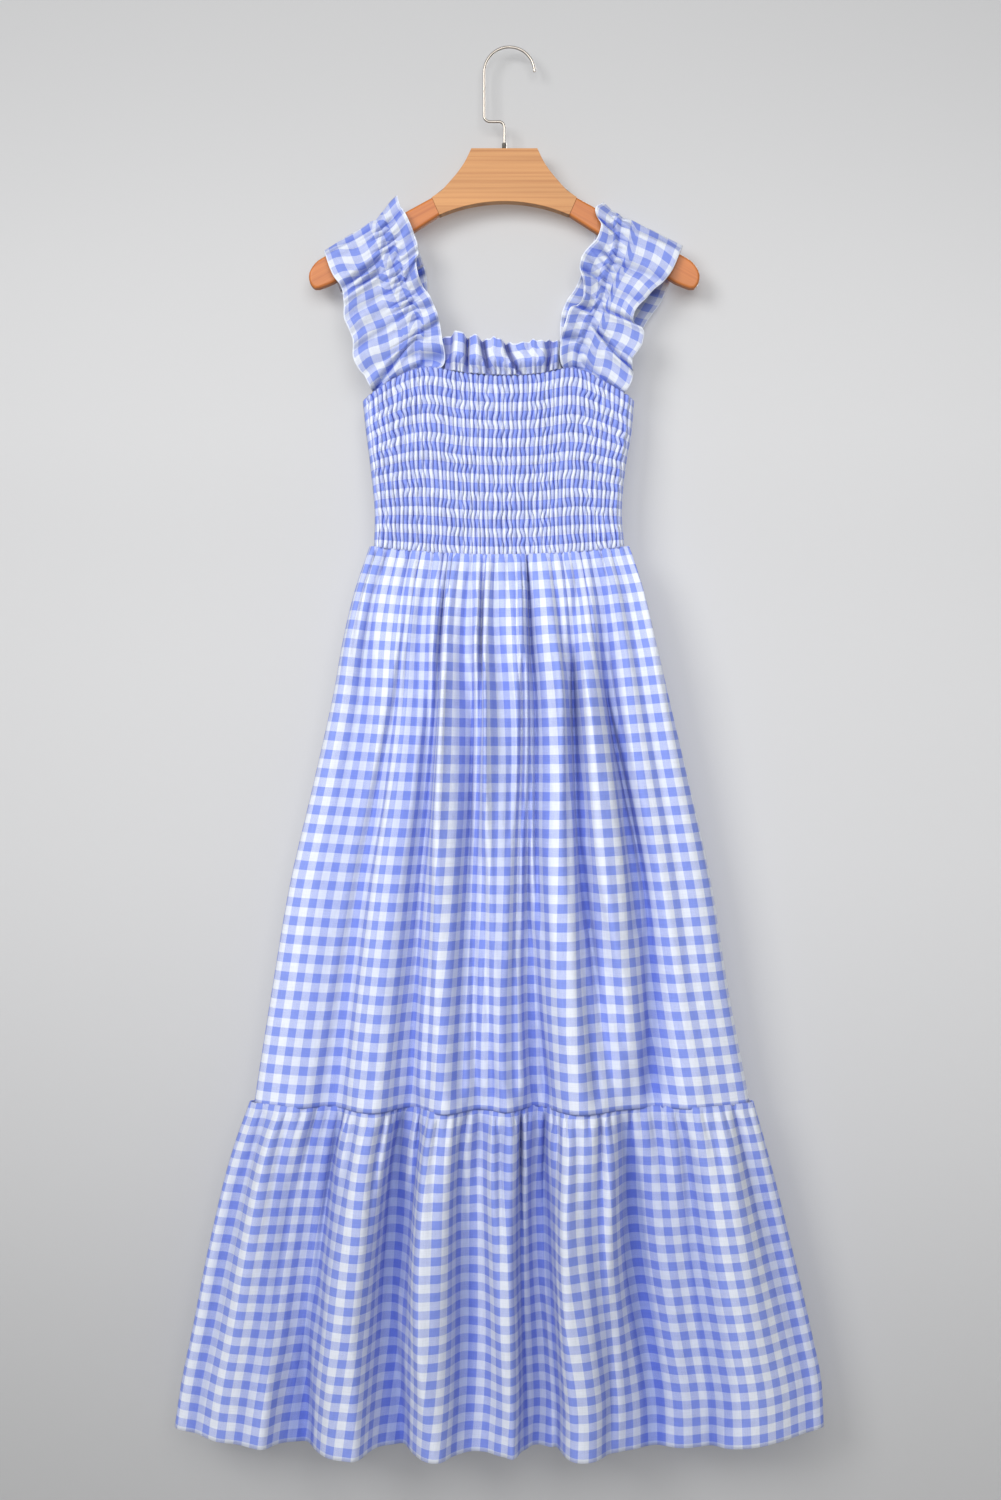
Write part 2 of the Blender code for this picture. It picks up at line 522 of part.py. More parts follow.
def hook_collar(material, collection):
    """A turned sleeve round the stem, with a small foot on the wood."""
    inner = HOOK_WIRE / 2 + WOOD_GAP
    foot_radius = COLLAR_RADIUS + 0.0008
    profile = [
        (inner, COLLAR_HEIGHT),
        (COLLAR_RADIUS, COLLAR_HEIGHT),
        (COLLAR_RADIUS, COLLAR_FOOT),
        (foot_radius, COLLAR_FOOT),
        (foot_radius, 0),
        (inner, 0),
        (inner, COLLAR_HEIGHT),
    ]
    mesh = bpy.data.meshes.new("hook_collar")
    work = bmesh.new()
    ring = [work.verts.new((r, 0, z)) for r, z in profile[:-1]]
    for first, second in zip(ring, ring[1:] + ring[:1]):
        work.edges.new((first, second))
    work.to_mesh(mesh)
    work.free()
    mesh.materials.append(material)
    piece = bpy.data.objects.new("hook_collar", mesh)
    piece.location = (HANGER_X, 0, BLOCK_TOP_Z + WOOD_GAP)
    collection.objects.link(piece)
    turned = piece.modifiers.new("Turned", "SCREW")
    turned.angle = 2 * pi
    turned.steps = 24
    turned.render_steps = 24
    turned.use_merge_vertices = True
    turned.merge_threshold = 0.00001
    return piece


# --- the whole object --------------------------------------------------------------------------------
def main():
    clear_scene()
    dress = make_collection("sundress_on_hanger")
    cloth = make_material("gingham_cotton", GINGHAM_BLUE, 0.85)
    block_wood = make_material("block_wood", WOOD, 0.45)
    arm_wood = make_material("arm_wood", WOOD_ARM, 0.45)
    metal = make_material("nickel_wire", NICKEL, 0.25, 1.0)

    bodice_panel("bodice_front", -1, cloth, dress)
    bodice_panel("bodice_back", 1, cloth, dress)
    for panel in GATHERED:
        gathered_panel(panel, cloth, dress)
    strap("strap_left", LEFT_FRONT, LEFT_BACK, cloth, dress)
    strap("strap_right", RIGHT_FRONT, RIGHT_BACK, cloth, dress)
    frill("neck_frill_front", -1, cloth, dress)
    frill("neck_frill_back", 1, cloth, dress)

    hanger_block(block_wood, dress)
    hanger_arm("hanger_arm_left", -1, arm_wood, dress)
    hanger_arm("hanger_arm_right", 1, arm_wood, dress)
    hanger_hook(metal, dress)
    hook_collar(metal, dress)


main()
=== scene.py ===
"""The looks of the gingham sundress on its hanger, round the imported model. Lengths are in metres."""

from collections import namedtuple
from math import cos, pi, radians, sin

import bmesh
import bpy
import numpy as np
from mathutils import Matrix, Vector


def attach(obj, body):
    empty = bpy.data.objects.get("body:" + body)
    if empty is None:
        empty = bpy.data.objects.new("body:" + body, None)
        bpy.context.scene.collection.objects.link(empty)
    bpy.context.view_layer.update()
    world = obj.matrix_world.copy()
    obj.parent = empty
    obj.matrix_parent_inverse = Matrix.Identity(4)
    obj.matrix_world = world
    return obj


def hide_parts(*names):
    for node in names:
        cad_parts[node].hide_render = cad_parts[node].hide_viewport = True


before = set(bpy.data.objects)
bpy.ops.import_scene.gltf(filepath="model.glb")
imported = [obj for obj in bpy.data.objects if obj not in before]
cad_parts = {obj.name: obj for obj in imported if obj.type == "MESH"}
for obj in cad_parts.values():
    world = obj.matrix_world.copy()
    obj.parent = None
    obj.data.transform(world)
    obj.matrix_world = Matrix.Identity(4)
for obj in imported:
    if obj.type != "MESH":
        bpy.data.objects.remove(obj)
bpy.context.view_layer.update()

# --- sizes, as in the construction ---
DRESS_X = -0.0105
HANGER_X = -0.0052
WAIST_MIDDLE_Z = -0.529
WAIST_LIFT = 0.009
TIER_SEAM_Z = -1.099
TIER_SEAM_LIFT = 0.0025
HEM_Z = -1.4485
HEM_LIFT = 0.0165
BODICE_HALF_DEPTH = 0.01
STRAP_HALF_DEPTH = 0.0098
SEAM_GAP = 0.0003
CLOTH = 0.0007  # thickness of the cotton
BAKE_MARGIN = 0.002  # margin round the OFBake layout
REPEAT = 0.019  # one blue and one white check
SAMPLES = 1500  # points along a row before its columns are spaced out

UPPER_WIDTH, UPPER_LENGTH = 0.7, 0.575
HEM_WIDTH, HEM_LENGTH = 0.92, 0.372
BODICE_WIDTH, BODICE_LENGTH = 0.61, 0.19
STRAP_WIDTH, STRAP_LENGTH = 0.095, 0.43
FRILL_WIDTH, FRILL_LENGTH = 0.28, 0.036


def table(kind, *rows):
    return [kind(*row) for row in rows]


Side = namedtuple("Side", "drop left right")
UPPER_SIDES = table(Side,
    (0.0, 0.1345, 0.135), (0.08, 0.15, 0.1496), (0.17, 0.1624, 0.162), (0.25, 0.1705, 0.173),
    (0.43, 0.1935, 0.1975), (0.6, 0.2165, 0.2192), (0.8, 0.2363, 0.2381), (1.0, 0.2545, 0.26),
)
HEM_SIDES = table(Side,
    (0.0, 0.259, 0.264), (0.13, 0.2748, 0.2764), (0.42, 0.2998, 0.3014),
    (0.71, 0.3195, 0.3243), (0.86, 0.33, 0.3345), (1.0, 0.337, 0.3372),
)
BODICE_SIDES = table(Side,
    (0.0, 0.1415, 0.14), (0.2, 0.1385, 0.1375), (0.5, 0.133, 0.1305),
    (0.8, 0.129, 0.1272), (1.0, 0.13, 0.13),
)
Neckline = namedtuple("Neckline", "x z")
NECKLINE = table(Neckline,
    (-0.152, -0.3677), (-0.122, -0.3465), (-0.092, -0.334), (-0.045, -0.34), (-0.01, -0.3423),
    (0.027, -0.341), (0.07, -0.335), (0.1, -0.349), (0.13, -0.3677),
)

# Troughs of the hanging folds: x from the dress's middle, share of full depth and half-width, at four drops.
Fold = namedtuple("Fold", "x deep wide")
FOLD_DROPS = (0.0, 0.25, 0.6, 1.0)
UPPER_FRONT_FOLDS = table(Fold,
    ((-0.093, -0.104, -0.14, -0.175), (0.6, 0.9, 0.9, 0.9), (0.005, 0.007, 0.013, 0.023)),
    ((-0.058, -0.065, -0.08, -0.093), (0.8, 1.0, 0.9, 0.9), (0.004, 0.006, 0.01, 0.021)),
    ((-0.018, -0.02, -0.024, -0.02), (0.6, 0.7, 0.8, 0.7), (0.004, 0.006, 0.012, 0.022)),
    ((0.029, 0.028, 0.026, 0.038), (0.7, 0.9, 1.0, 1.0), (0.005, 0.007, 0.011, 0.022)),
    ((0.081, 0.076, 0.087, 0.128), (0.6, 0.8, 0.6, 0.5), (0.005, 0.007, 0.012, 0.024)),
    ((0.092, 0.111, 0.149, 0.166), (0.2, 0.8, 0.9, 0.7), (0.005, 0.006, 0.011, 0.024)),
    ((0.123, 0.147, 0.184, 0.215), (0.5, 0.7, 0.5, 0.1), (0.006, 0.008, 0.014, 0.02)),
)
HEM_FRONT_FOLDS = table(Fold,
    ((-0.175, -0.193, -0.208, -0.211), (0.9, 0.9, 0.9, 0.9), (0.023, 0.022, 0.022, 0.026)),
    ((-0.095, -0.105, -0.114, -0.111), (0.9, 0.9, 0.9, 0.9), (0.021, 0.02, 0.021, 0.026)),
    ((-0.02, -0.021, -0.024, -0.02), (0.7, 0.6, 0.6, 0.6), (0.022, 0.022, 0.024, 0.028)),
    ((0.038, 0.038, 0.039, 0.044), (1.0, 1.0, 1.0, 1.0), (0.022, 0.018, 0.018, 0.021)),
    ((0.128, 0.132, 0.136, 0.14), (0.5, 0.6, 0.7, 0.7), (0.024, 0.024, 0.026, 0.03)),
    ((0.166, 0.172, 0.182, 0.196), (0.7, 0.7, 0.7, 0.7), (0.024, 0.026, 0.03, 0.034)),
)
UPPER_BACK_FOLDS = table(Fold,
    ((-0.112, -0.142, -0.184, -0.212), (0.6, 0.9, 0.8, 0.6), (0.005, 0.007, 0.012, 0.018)),
    ((-0.082, -0.097, -0.127, -0.15), (0.7, 0.8, 1.0, 1.0), (0.005, 0.007, 0.011, 0.017)),
    ((-0.049, -0.058, -0.071, -0.088), (0.6, 0.9, 0.7, 0.8), (0.004, 0.007, 0.011, 0.016)),
    ((-0.021, -0.017, -0.022, -0.029), (0.8, 0.8, 0.9, 1.0), (0.005, 0.006, 0.01, 0.016)),
    ((0.022, 0.027, 0.03, 0.033), (0.6, 0.8, 0.8, 0.7), (0.005, 0.007, 0.012, 0.018)),
    ((0.053, 0.061, 0.081, 0.094), (0.8, 0.9, 0.9, 0.9), (0.005, 0.006, 0.01, 0.016)),
    ((0.088, 0.104, 0.129, 0.157), (0.6, 0.7, 0.7, 0.9), (0.004, 0.007, 0.012, 0.017)),
    ((0.117, 0.146, 0.183, 0.214), (0.5, 0.8, 0.8, 0.6), (0.005, 0.007, 0.012, 0.018)),
)
HEM_BACK_FOLDS = table(Fold,
    ((-0.212, -0.224, -0.24, -0.257), (0.6, 0.6, 0.7, 0.7), (0.018, 0.018, 0.019, 0.022)),
    ((-0.15, -0.158, -0.17, -0.179), (1.0, 1.0, 0.9, 0.9), (0.017, 0.017, 0.018, 0.02)),
    ((-0.088, -0.092, -0.103, -0.112), (0.8, 0.8, 0.8, 0.7), (0.016, 0.017, 0.018, 0.021)),
    ((-0.029, -0.031, -0.033, -0.039), (1.0, 1.0, 1.0, 1.0), (0.016, 0.016, 0.017, 0.019)),
    ((0.033, 0.035, 0.036, 0.036), (0.7, 0.7, 0.8, 0.8), (0.018, 0.018, 0.019, 0.021)),
    ((0.094, 0.099, 0.107, 0.113), (0.9, 0.9, 0.9, 1.0), (0.016, 0.016, 0.017, 0.02)),
    ((0.157, 0.165, 0.174, 0.186), (0.9, 0.9, 0.9, 0.8), (0.017, 0.017, 0.018, 0.021)),
    ((0.214, 0.228, 0.247, 0.262), (0.6, 0.6, 0.6, 0.7), (0.018, 0.019, 0.021, 0.024)),
)

# Each against the drop: the share of the cut width that the large folds take up, how square their troughs
# are, and how far a trough's floor stands from the middle plane.
UPPER_TAKEN = ((0.0, 0.25, 0.6, 1.0), (0.45, 0.78, 0.935, 0.965))
HEM_TAKEN = ((0.0, 0.3, 1.0), (0.73, 0.89, 0.95))
UPPER_STEEP = ((0.0, 1.0), (1.6, 2.1))
HEM_STEEP = ((0.0, 1.0), (2.1, 3.2))
UPPER_FLOOR = ((0.0, 0.3, 1.0), (0.01, 0.0085, 0.008))
HEM_FLOOR = ((0.0, 1.0), (0.008, 0.008))

# The top edge of a gathered panel lies behind the edge that it is sewn to.
TUCK_HEIGHT, TUCK_DEPTH, TUCK_LENGTH = 0.0018, 0.0011, 0.006
FIRST_CREST = 0.25  # share of the large folds that shows right under the waist
RISE_LENGTH = 0.016  # over which the folds come out from under the waist
WAIST_LEVEL = 0.013  # a crest's height at the waist seam
WAIST_SHARE = 0.4  # how much of a crest's rise over that shows near the waist
WAIST_REACH = 0.17  # over which the crests rise in full

# Small gathers below a seam: how many across the panel, the share of its length over which they fade,
# and their form. A low number makes narrow recesses between round crests, and 2 makes a plain wave.
Gathers = namedtuple("Gathers", "count fade sharp")
WAIST_GATHERS = (Gathers(27, 0.12, 0.7), Gathers(14, 0.4, 1.1), Gathers(8, 3.0, 2.0))
SEAM_GATHERS = (Gathers(52, 0.1, 0.8), Gathers(23, 0.38, 1.2), Gathers(10, 3.0, 2.0))
Gathered = namedtuple(
    "Gathered",
    "cut_width cut_length top_z top_lift bottom_z bottom_lift sides taken steep floor gathers "
    "node facing folds columns rows seed",
)
UPPER = (UPPER_WIDTH, UPPER_LENGTH, WAIST_MIDDLE_Z, WAIST_LIFT, TIER_SEAM_Z, TIER_SEAM_LIFT,
         UPPER_SIDES, UPPER_TAKEN, UPPER_STEEP, UPPER_FLOOR, WAIST_GATHERS)
HEM = (HEM_WIDTH, HEM_LENGTH, TIER_SEAM_Z, TIER_SEAM_LIFT, HEM_Z, HEM_LIFT,
       HEM_SIDES, HEM_TAKEN, HEM_STEEP, HEM_FLOOR, SEAM_GATHERS)
GATHERED = [
    Gathered(*UPPER, "skirt_front", -1, UPPER_FRONT_FOLDS, 370, 126, 11),
    Gathered(*UPPER, "skirt_back", 1, UPPER_BACK_FOLDS, 300, 80, 12),
    Gathered(*HEM, "tier_front", -1, HEM_FRONT_FOLDS, 420, 84, 13),
    Gathered(*HEM, "tier_back", 1, HEM_BACK_FOLDS, 340, 50, 14),
]


# --- general helpers ---
def glide(at, knots, values):
    """A smooth curve through the knots: cubic pieces whose slopes come from their neighbours."""
    at, knots, values = (np.asarray(item, float) for item in (at, knots, values))
    slope = np.gradient(values, knots)
    piece = np.clip(np.searchsorted(knots, at, side="right") - 1, 0, len(knots) - 2)
    span = knots[piece + 1] - knots[piece]
    f = np.clip((at - knots[piece]) / span, 0, 1)
    g = 1 - f
    low = g * g * ((1 + 2 * f) * values[piece] + f * span * slope[piece])
    high = f * f * ((1 + 2 * g) * values[piece + 1] - g * span * slope[piece + 1])
    return low + high


def column(rows, name):
    return [getattr(row, name) for row in rows]


def smooth_step(f):
    f = np.clip(f, 0, 1)
    return f * f * (3 - 2 * f)


def grown(start, f):
    """From start at 0 to 1 at 1, smoothly."""
    return start + (1 - start) * smooth_step(f)


def wander(rng, pieces):
    """A smooth random curve over 0 to 1 that stays near -1 to 1."""
    knots = np.linspace(0, 1, pieces + 1)
    values = rng.uniform(-1, 1, pieces + 1)
    return lambda at: glide(at, knots, values)


def round_side(distance, reach):
    f = np.clip(distance / reach, 0, 1)
    return np.sqrt(1 - (1 - f) ** 2)


def lengths(x, y):
    return np.concatenate([[0.0], np.cumsum(np.hypot(np.diff(x), np.diff(y)))])


def gather_wave(turn, sharp):
    """Round crests at 1 with recesses down to -1, one for each full turn."""
    return 2 * np.abs(np.sin(turn / 2)) ** sharp - 1


def solve(measure, wanted, high, steps=26):
    """The largest value up to high whose measure stays below wanted."""
    low = 0.0
    for _ in range(steps):
        middle = (low + high) / 2
        if measure(middle) < wanted:
            low = middle
        else:
            high = middle
    return low


def blurred(values, reach):
    """A running mean with soft ends, reach samples to each side."""
    window = np.hanning(2 * reach + 3)[1:-1]
    padded = np.pad(values, reach, mode="edge")
    return np.convolve(padded, window / window.sum(), mode="valid")


def linked(name, data):
    """A new object in the scene for this mesh, curve, light or camera."""
    thing = bpy.data.objects.new(name, data)
    bpy.context.scene.collection.objects.link(thing)
    return thing


def add_uv(mesh, name, across, down):
    layer = mesh.uv_layers.new(name=name)
    corner = np.empty(len(mesh.loops), np.int32)
    mesh.loops.foreach_get("vertex_index", corner)
    layer.data.foreach_set("uv", np.stack([across[corner], down[corner]], axis=-1).ravel())


def declare(piece, node):
    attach(piece, "root")
    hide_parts(node)


def turned(facing, *layers):
    """Reverses the columns of a panel that faces backwards, so that its faces look outwards."""
    return [np.array(layer)[:, ::-facing] for layer in layers]


def cloth_piece(node, layers, material):
    """A thin shell for this node, on a grid of points.

    The layers are the points, the cloth's own coordinates across and down in metres, and the amount of
    painted shade, 0 on a crest and 1 deep in a crease.
    """
    grid, across, down, shade_amount = layers
    rows, columns = grid.shape[:2]
    index = np.arange(rows * columns).reshape(rows, columns)
    quads = np.stack([index[:-1, :-1], index[1:, :-1], index[1:, 1:], index[:-1, 1:]], axis=-1).reshape(-1, 4)
    mesh = bpy.data.meshes.new(node + "_cloth")
    mesh.from_pydata(grid.reshape(-1, 3).tolist(), [], quads.tolist())
    add_uv(mesh, "cloth", across.ravel(), down.ravel())
    # The crease layer carries the painted shade amount to the material.
    add_uv(mesh, "crease", shade_amount.ravel(), shade_amount.ravel())
    low, high = BAKE_MARGIN, 1 - BAKE_MARGIN
    f, g = np.meshgrid(np.linspace(low, high, columns), np.linspace(high, low, rows))
    add_uv(mesh, "OFBake", f.ravel(), g.ravel())
    mesh.shade_smooth()
    mesh.materials.append(material)
    piece = linked(node + "_cloth", mesh)
    shell = piece.modifiers.new("Shell", "SOLIDIFY")
    shell.thickness = CLOTH
    shell.offset = 0.0
    declare(piece, node)
    return piece


# --- materials ---
class Nodes:
    """Short ways to add shader nodes to one material."""

    def __init__(self, name):
        self.material = bpy.data.materials.new(name)
        self.material.use_nodes = True
        self.tree = self.material.node_tree
        self.shader = self.tree.nodes["Principled BSDF"]

    def add(self, kind, **settings):
        node = self.tree.nodes.new(kind)
        for key, value in settings.items():
            setattr(node, key, value)
        return node

    def put(self, value, socket):
        if hasattr(value, "is_output"):
            self.tree.links.new(value, socket)
        else:
            socket.default_value = value

    def math(self, operation, *values, clamp=False):
        node = self.add("ShaderNodeMath", operation=operation, use_clamp=clamp)
        for value, socket in zip(values, node.inputs):
            self.put(value, socket)
        return node.outputs[0]

    def mix(self, factor, first, second, blend="MIX"):
        node = self.add("ShaderNodeMix", data_type="RGBA", blend_type=blend)
        for value, index in zip((factor, first, second), (0, 6, 7)):
            self.put(value, node.inputs[index])
        return node.outputs[2]

    def fill(self, node, **values):
        """Sets or links a node's inputs by name, with _ for a space, and gives its first output."""
        for name, value in values.items():
            self.put(value, node.inputs[name.replace("_", " ")])
        return node.outputs[0]

    def noise(self, vector, scale, detail=2.0, roughness=0.5):
        node = self.add("ShaderNodeTexNoise")
        return self.fill(node, Vector=vector, Scale=scale, Detail=detail, Roughness=roughness)

    def mapping(self, vector, scale, rotation=(0, 0, 0)):
        return self.fill(self.add("ShaderNodeMapping"), Vector=vector, Scale=scale, Rotation=rotation)

    def bump(self, height, distance, strength=1.0, **normal):
        node = self.add("ShaderNodeBump")
        return self.fill(node, Strength=strength, Distance=distance, Height=height, **normal)

    def remap(self, value, *limits):
        """Takes the first two limits to the last two."""
        node = self.add("ShaderNodeMapRange")
        for item, socket in zip((value, *limits), node.inputs):
            self.put(item, socket)
        return node.outputs[0]

    def split(self, vector):
        """The outputs for X, Y and Z."""
        node = self.add("ShaderNodeSeparateXYZ")
        self.put(vector, node.inputs[0])
        return node.outputs

    def layer(self, name):
        return self.add("ShaderNodeUVMap", uv_map=name).outputs[0]

    def place(self):
        return self.add("ShaderNodeTexCoord").outputs["Object"]


YARN_WHITE = (0.76, 0.795, 0.88, 1.0)
YARN_BLUE = (0.235, 0.31, 0.77, 1.0)
SEAM_BLUE = (0.09, 0.13, 0.45, 1.0)
# Painted shade: the colours that the cloth turns towards deep in its creases, the second for the shirred
# bodice and frill.
CREASE_SHADE_COLOUR = (0.3, 0.38, 0.74, 1.0)
SHIRRED_SHADE_COLOUR = (0.2, 0.23, 0.57, 1.0)
NICKEL_DARK, NICKEL_LIGHT = (0.36, 0.32, 0.275, 1.0), (0.47, 0.43, 0.385, 1.0)
THREAD_PITCH = 0.00055
YARN_CONTRAST = 7.0  # how sharply one colour of yarn gives way to the other
OVER_SHARE = 0.3  # how much of one set of threads the other hides
SEAM_HALF_WIDTH, HEM_HALF_WIDTH = 0.0005, 0.0013


def gingham(name, shift=(0.0, 0.0), seams=(), hems=(), shade=0.5, shade_colour=CREASE_SHADE_COLOUR, painted_light_level=1.0):
    """Check woven of blue and white yarn. seams are distances down the cloth where a line of stitching shows.

    hems are (axis, place) pairs where a rolled edge runs, bound in white thread. shade is how far painted
    shade turns the colour towards the given shade colour deep in a crease. The level at the end dims the
    whole piece: painted shade, set for each piece to how brightly it is lit.
    """
    n = Nodes(name)
    cloth = n.layer("cloth")
    u, v = n.split(cloth)[:2]

    def stripe(coordinate, offset):
        wave = n.math("SINE", n.math("MULTIPLY", n.math("ADD", coordinate, offset), 2 * pi / REPEAT))
        return n.math("MULTIPLY_ADD", wave, YARN_CONTRAST, 0.5, clamp=True)

    def thread(coordinate):
        return n.math("SINE", n.math("MULTIPLY", coordinate, 2 * pi / THREAD_PITCH))

    def near(coordinate, line, reach):
        return n.math("LESS_THAN", n.math("ABSOLUTE", n.math("SUBTRACT", coordinate, line)), reach)

    warp, weft = stripe(u, shift[0]), stripe(v, shift[1])
    warp_thread, weft_thread = thread(u), thread(v)
    over = n.math("MULTIPLY_ADD", n.math("MULTIPLY", warp_thread, weft_thread), OVER_SHARE, 0.5)
    turn = n.math("SUBTRACT", 1.0, over)
    blue = n.math("MULTIPLY_ADD", warp, over, n.math("MULTIPLY", weft, turn), clamp=True)
    colour = n.mix(blue, YARN_WHITE, YARN_BLUE)
    slub = n.noise(n.mapping(cloth, (900.0, 60.0, 1.0)), 1.0, 3.0)
    slub_across = n.noise(n.mapping(cloth, (60.0, 900.0, 1.0)), 1.0, 3.0)
    # Random slub in the yarn, times the level that dims the whole piece: painted shade.
    slub_and_shade = n.remap(n.math("ADD", slub, slub_across), 0.7, 1.3, 0.93 * painted_light_level, 1.05 * painted_light_level)
    colour = n.mix(1.0, colour, slub_and_shade, "MULTIPLY")
    # Painted shade: deep in creases the colour turns darker and bluer, by the amount in the crease layer.
    shade_amount = n.split(n.layer("crease"))[0]
    shaded = n.mix(1.0, colour, shade_colour, "MULTIPLY")
    shade_weight = n.math("MULTIPLY", shade_amount, n.math("MULTIPLY_ADD", shade_amount, 0.5, 0.7))
    colour = n.mix(n.math("MULTIPLY", shade_weight, shade, clamp=True), colour, shaded)
    for seam in seams:
        colour = n.mix(n.math("MULTIPLY", near(v, seam, SEAM_HALF_WIDTH), 0.5), colour, SEAM_BLUE)
    for axis, line in hems:
        colour = n.mix(n.math("MULTIPLY", near((u, v)[axis], line, HEM_HALF_WIDTH), 0.8), colour, YARN_WHITE)
    crumple = n.noise(n.mapping(cloth, (42.0, 26.0, 1.0)), 1.0, 4.0, 0.55)
    weave = n.math("ADD", n.math("ABSOLUTE", warp_thread), n.math("ABSOLUTE", weft_thread))
    relief = n.bump(weave, 0.00006, 0.6, Normal=n.bump(crumple, 0.0022))
    n.fill(n.shader, Base_Color=colour, Roughness=0.82, Specular_IOR_Level=0.14, Sheen_Weight=0.14,
           Sheen_Roughness=0.45, Normal=relief)
    return n.material


def wood(name, light, dark, slope, ring=260.0):
    """Lacquered wood whose grain runs along X, turned by slope. ring is how fine the grain is."""
    n = Nodes(name)
    along = n.mapping(n.place(), (1.0, 1.0, 1.0), (0, slope, 0))
    grain = n.noise(n.mapping(along, (2.2, 30.0, ring)), 1.0, 3.0, 0.55)
    fine = n.noise(n.mapping(along, (14.0, 300.0, 1100.0)), 1.0, 2.0, 0.6)
    broad = n.noise(n.mapping(along, (3.0, 10.0, 26.0)), 1.0, 1.0)
    line = n.add("ShaderNodeValToRGB")
    n.put(grain, line.inputs[0])
    for stop, position, colour in zip(line.color_ramp.elements, (0.34, 0.56), (dark, light)):
        stop.position, stop.color = position, colour
    patches = n.math("MULTIPLY_ADD", broad, 0.6, n.math("MULTIPLY", fine, 0.4))
    shade = n.remap(patches, 0.3, 0.7, 0.86, 1.1)
    n.fill(n.shader, Base_Color=n.mix(1.0, line.outputs[0], shade, "MULTIPLY"), Roughness=0.42,
           Specular_IOR_Level=0.35, Normal=n.bump(fine, 0.00012, 0.5))
    return n.material


def nickel(name):
    n = Nodes(name)
    haze = n.noise(n.place(), 260.0, 3.0)
    n.fill(n.shader, Base_Color=n.mix(haze, NICKEL_DARK, NICKEL_LIGHT), Metallic=1.0,
           Roughness=n.math("MULTIPLY_ADD", haze, 0.1, 0.3))
    return n.material


# --- gathered panels ---
FOLD_SPREAD = 1.05  # of a trough's half-width, where about a third of its depth is left
MOST_CREST, MOST_GATHER = 0.09, 0.02  # upper ends of the two searches for a row's heights
MOST_RIPPLE = 0.0045
ALIKE = 0.16  # share of the drop over which rows share out their cloth alike
PHASE_TURN, DRIFT_TURN, SIZE_CHANGE = 2.4, 1.2, 0.45
EARLY_SHARE = 0.15  # of wide gathers, before the narrow ones have faded
CALM_ENDS = 30  # gathers fade out over this part of the width at each side, as 1 in 30
ROOM_BLUR, THREAD_BLUR = 20, 70  # samples to each side
FIRST_PUFF, PUFF_LENGTH = 0.22, 0.011  # how the gathers open below a seam
LAST_PUFF, SETTLE_LENGTH = 0.1, 0.03  # and how the skirt's close above the tier seam
FULL_HOLLOW = 0.004  # depth of a recess that gets its full painted shade
LEAN = 0.0012  # slow sway of the hanging cloth


def below_waist(panel):
    return panel.node.startswith("skirt")


def side_edges(sides, drop):
    drops = column(sides, "drop")
    left, right = (float(glide(drop, drops, column(sides, name))) for name in ("left", "right"))
    return DRESS_X - left, DRESS_X + right


def across_dress(x):
    """-1 to 1 from side to side."""
    return (x - DRESS_X) / np.abs(x - DRESS_X).max()


def row_points(x, y, facing, drop, top, bottom):
    """A row between the panel's top and bottom edges, on its own side of the middle plane."""
    return np.stack([x, facing * np.maximum(y, SEAM_GAP / 2), top + (bottom - top) * drop], axis=-1)


def fold_depth(panel, drop, x):
    """0 on a crest, 1 in the deepest trough."""
    depth = np.zeros_like(x)
    steep = float(np.interp(drop, *panel.steep))
    for fold in panel.folds:
        middle, deep, wide = (float(glide(drop, FOLD_DROPS, values)) for values in fold)
        depth += deep * np.exp(-(np.abs((x - DRESS_X - middle) / (FOLD_SPREAD * wide)) ** steep))
    return np.minimum(depth, 1.0)


def large_folds(panel, drop):
    """One row's curve through the large folds alone."""
    left, right = side_edges(panel.sides, drop)
    x = np.linspace(left, right, SAMPLES)
    across = 2 * (x - left) / (right - left) - 1
    floor = float(glide(drop, *panel.floor))
    base = floor * round_side(np.minimum(x - left, right - x), floor)
    shape = (1 - np.abs(across) ** 3) ** 1.2 * (1 - fold_depth(panel, drop, x))
    wanted = panel.cut_width * float(glide(drop, *panel.taken))
    height = solve(lambda high: lengths(x, base + high * shape)[-1], wanted, MOST_CREST)
    if below_waist(panel):
        height *= grown(FIRST_CREST, drop * panel.cut_length / RISE_LENGTH)
    return x, base + height * shape


def cloth_spread(curves, drops):
    """How the cloth is shared out along each row. It changes slowly downwards, so threads hang straight."""
    density = np.array([np.gradient(lengths(x, y)) for x, y in curves])
    density /= density.sum(axis=1, keepdims=True)
    weight = np.exp(-(((drops[:, None] - drops[None, :]) / ALIKE) ** 2))
    weight /= weight.sum(axis=1, keepdims=True)
    return weight @ density


def gather_waves(panel):
    """A function of the place across the cloth (0 to 1) and the drop that gives the gathers' height."""
    rng = np.random.default_rng(panel.seed)
    families = []
    for gathers in panel.gathers:
        phase = wander(rng, max(6, gathers.count // 2))
        size = wander(rng, gathers.count)
        drift = wander(rng, 7)
        families.append((gathers, phase, size, drift))

    def height(place, drop):
        total = np.zeros_like(place)
        for order, (gathers, phase, size, drift) in enumerate(families):
            share = np.exp(-((drop / gathers.fade) ** 1.5)) * families[0][0].count / gathers.count
            if order:
                share *= grown(EARLY_SHARE, drop / families[order - 1][0].fade)
            turn = 2 * pi * gathers.count * place + PHASE_TURN * phase(place)
            turn += DRIFT_TURN * drop * drift(place)
            total += share * (1 + SIZE_CHANGE * size(place)) * gather_wave(turn, gathers.sharp)
        return total * smooth_step(np.minimum(place, 1 - place) * CALM_ENDS)

    return height


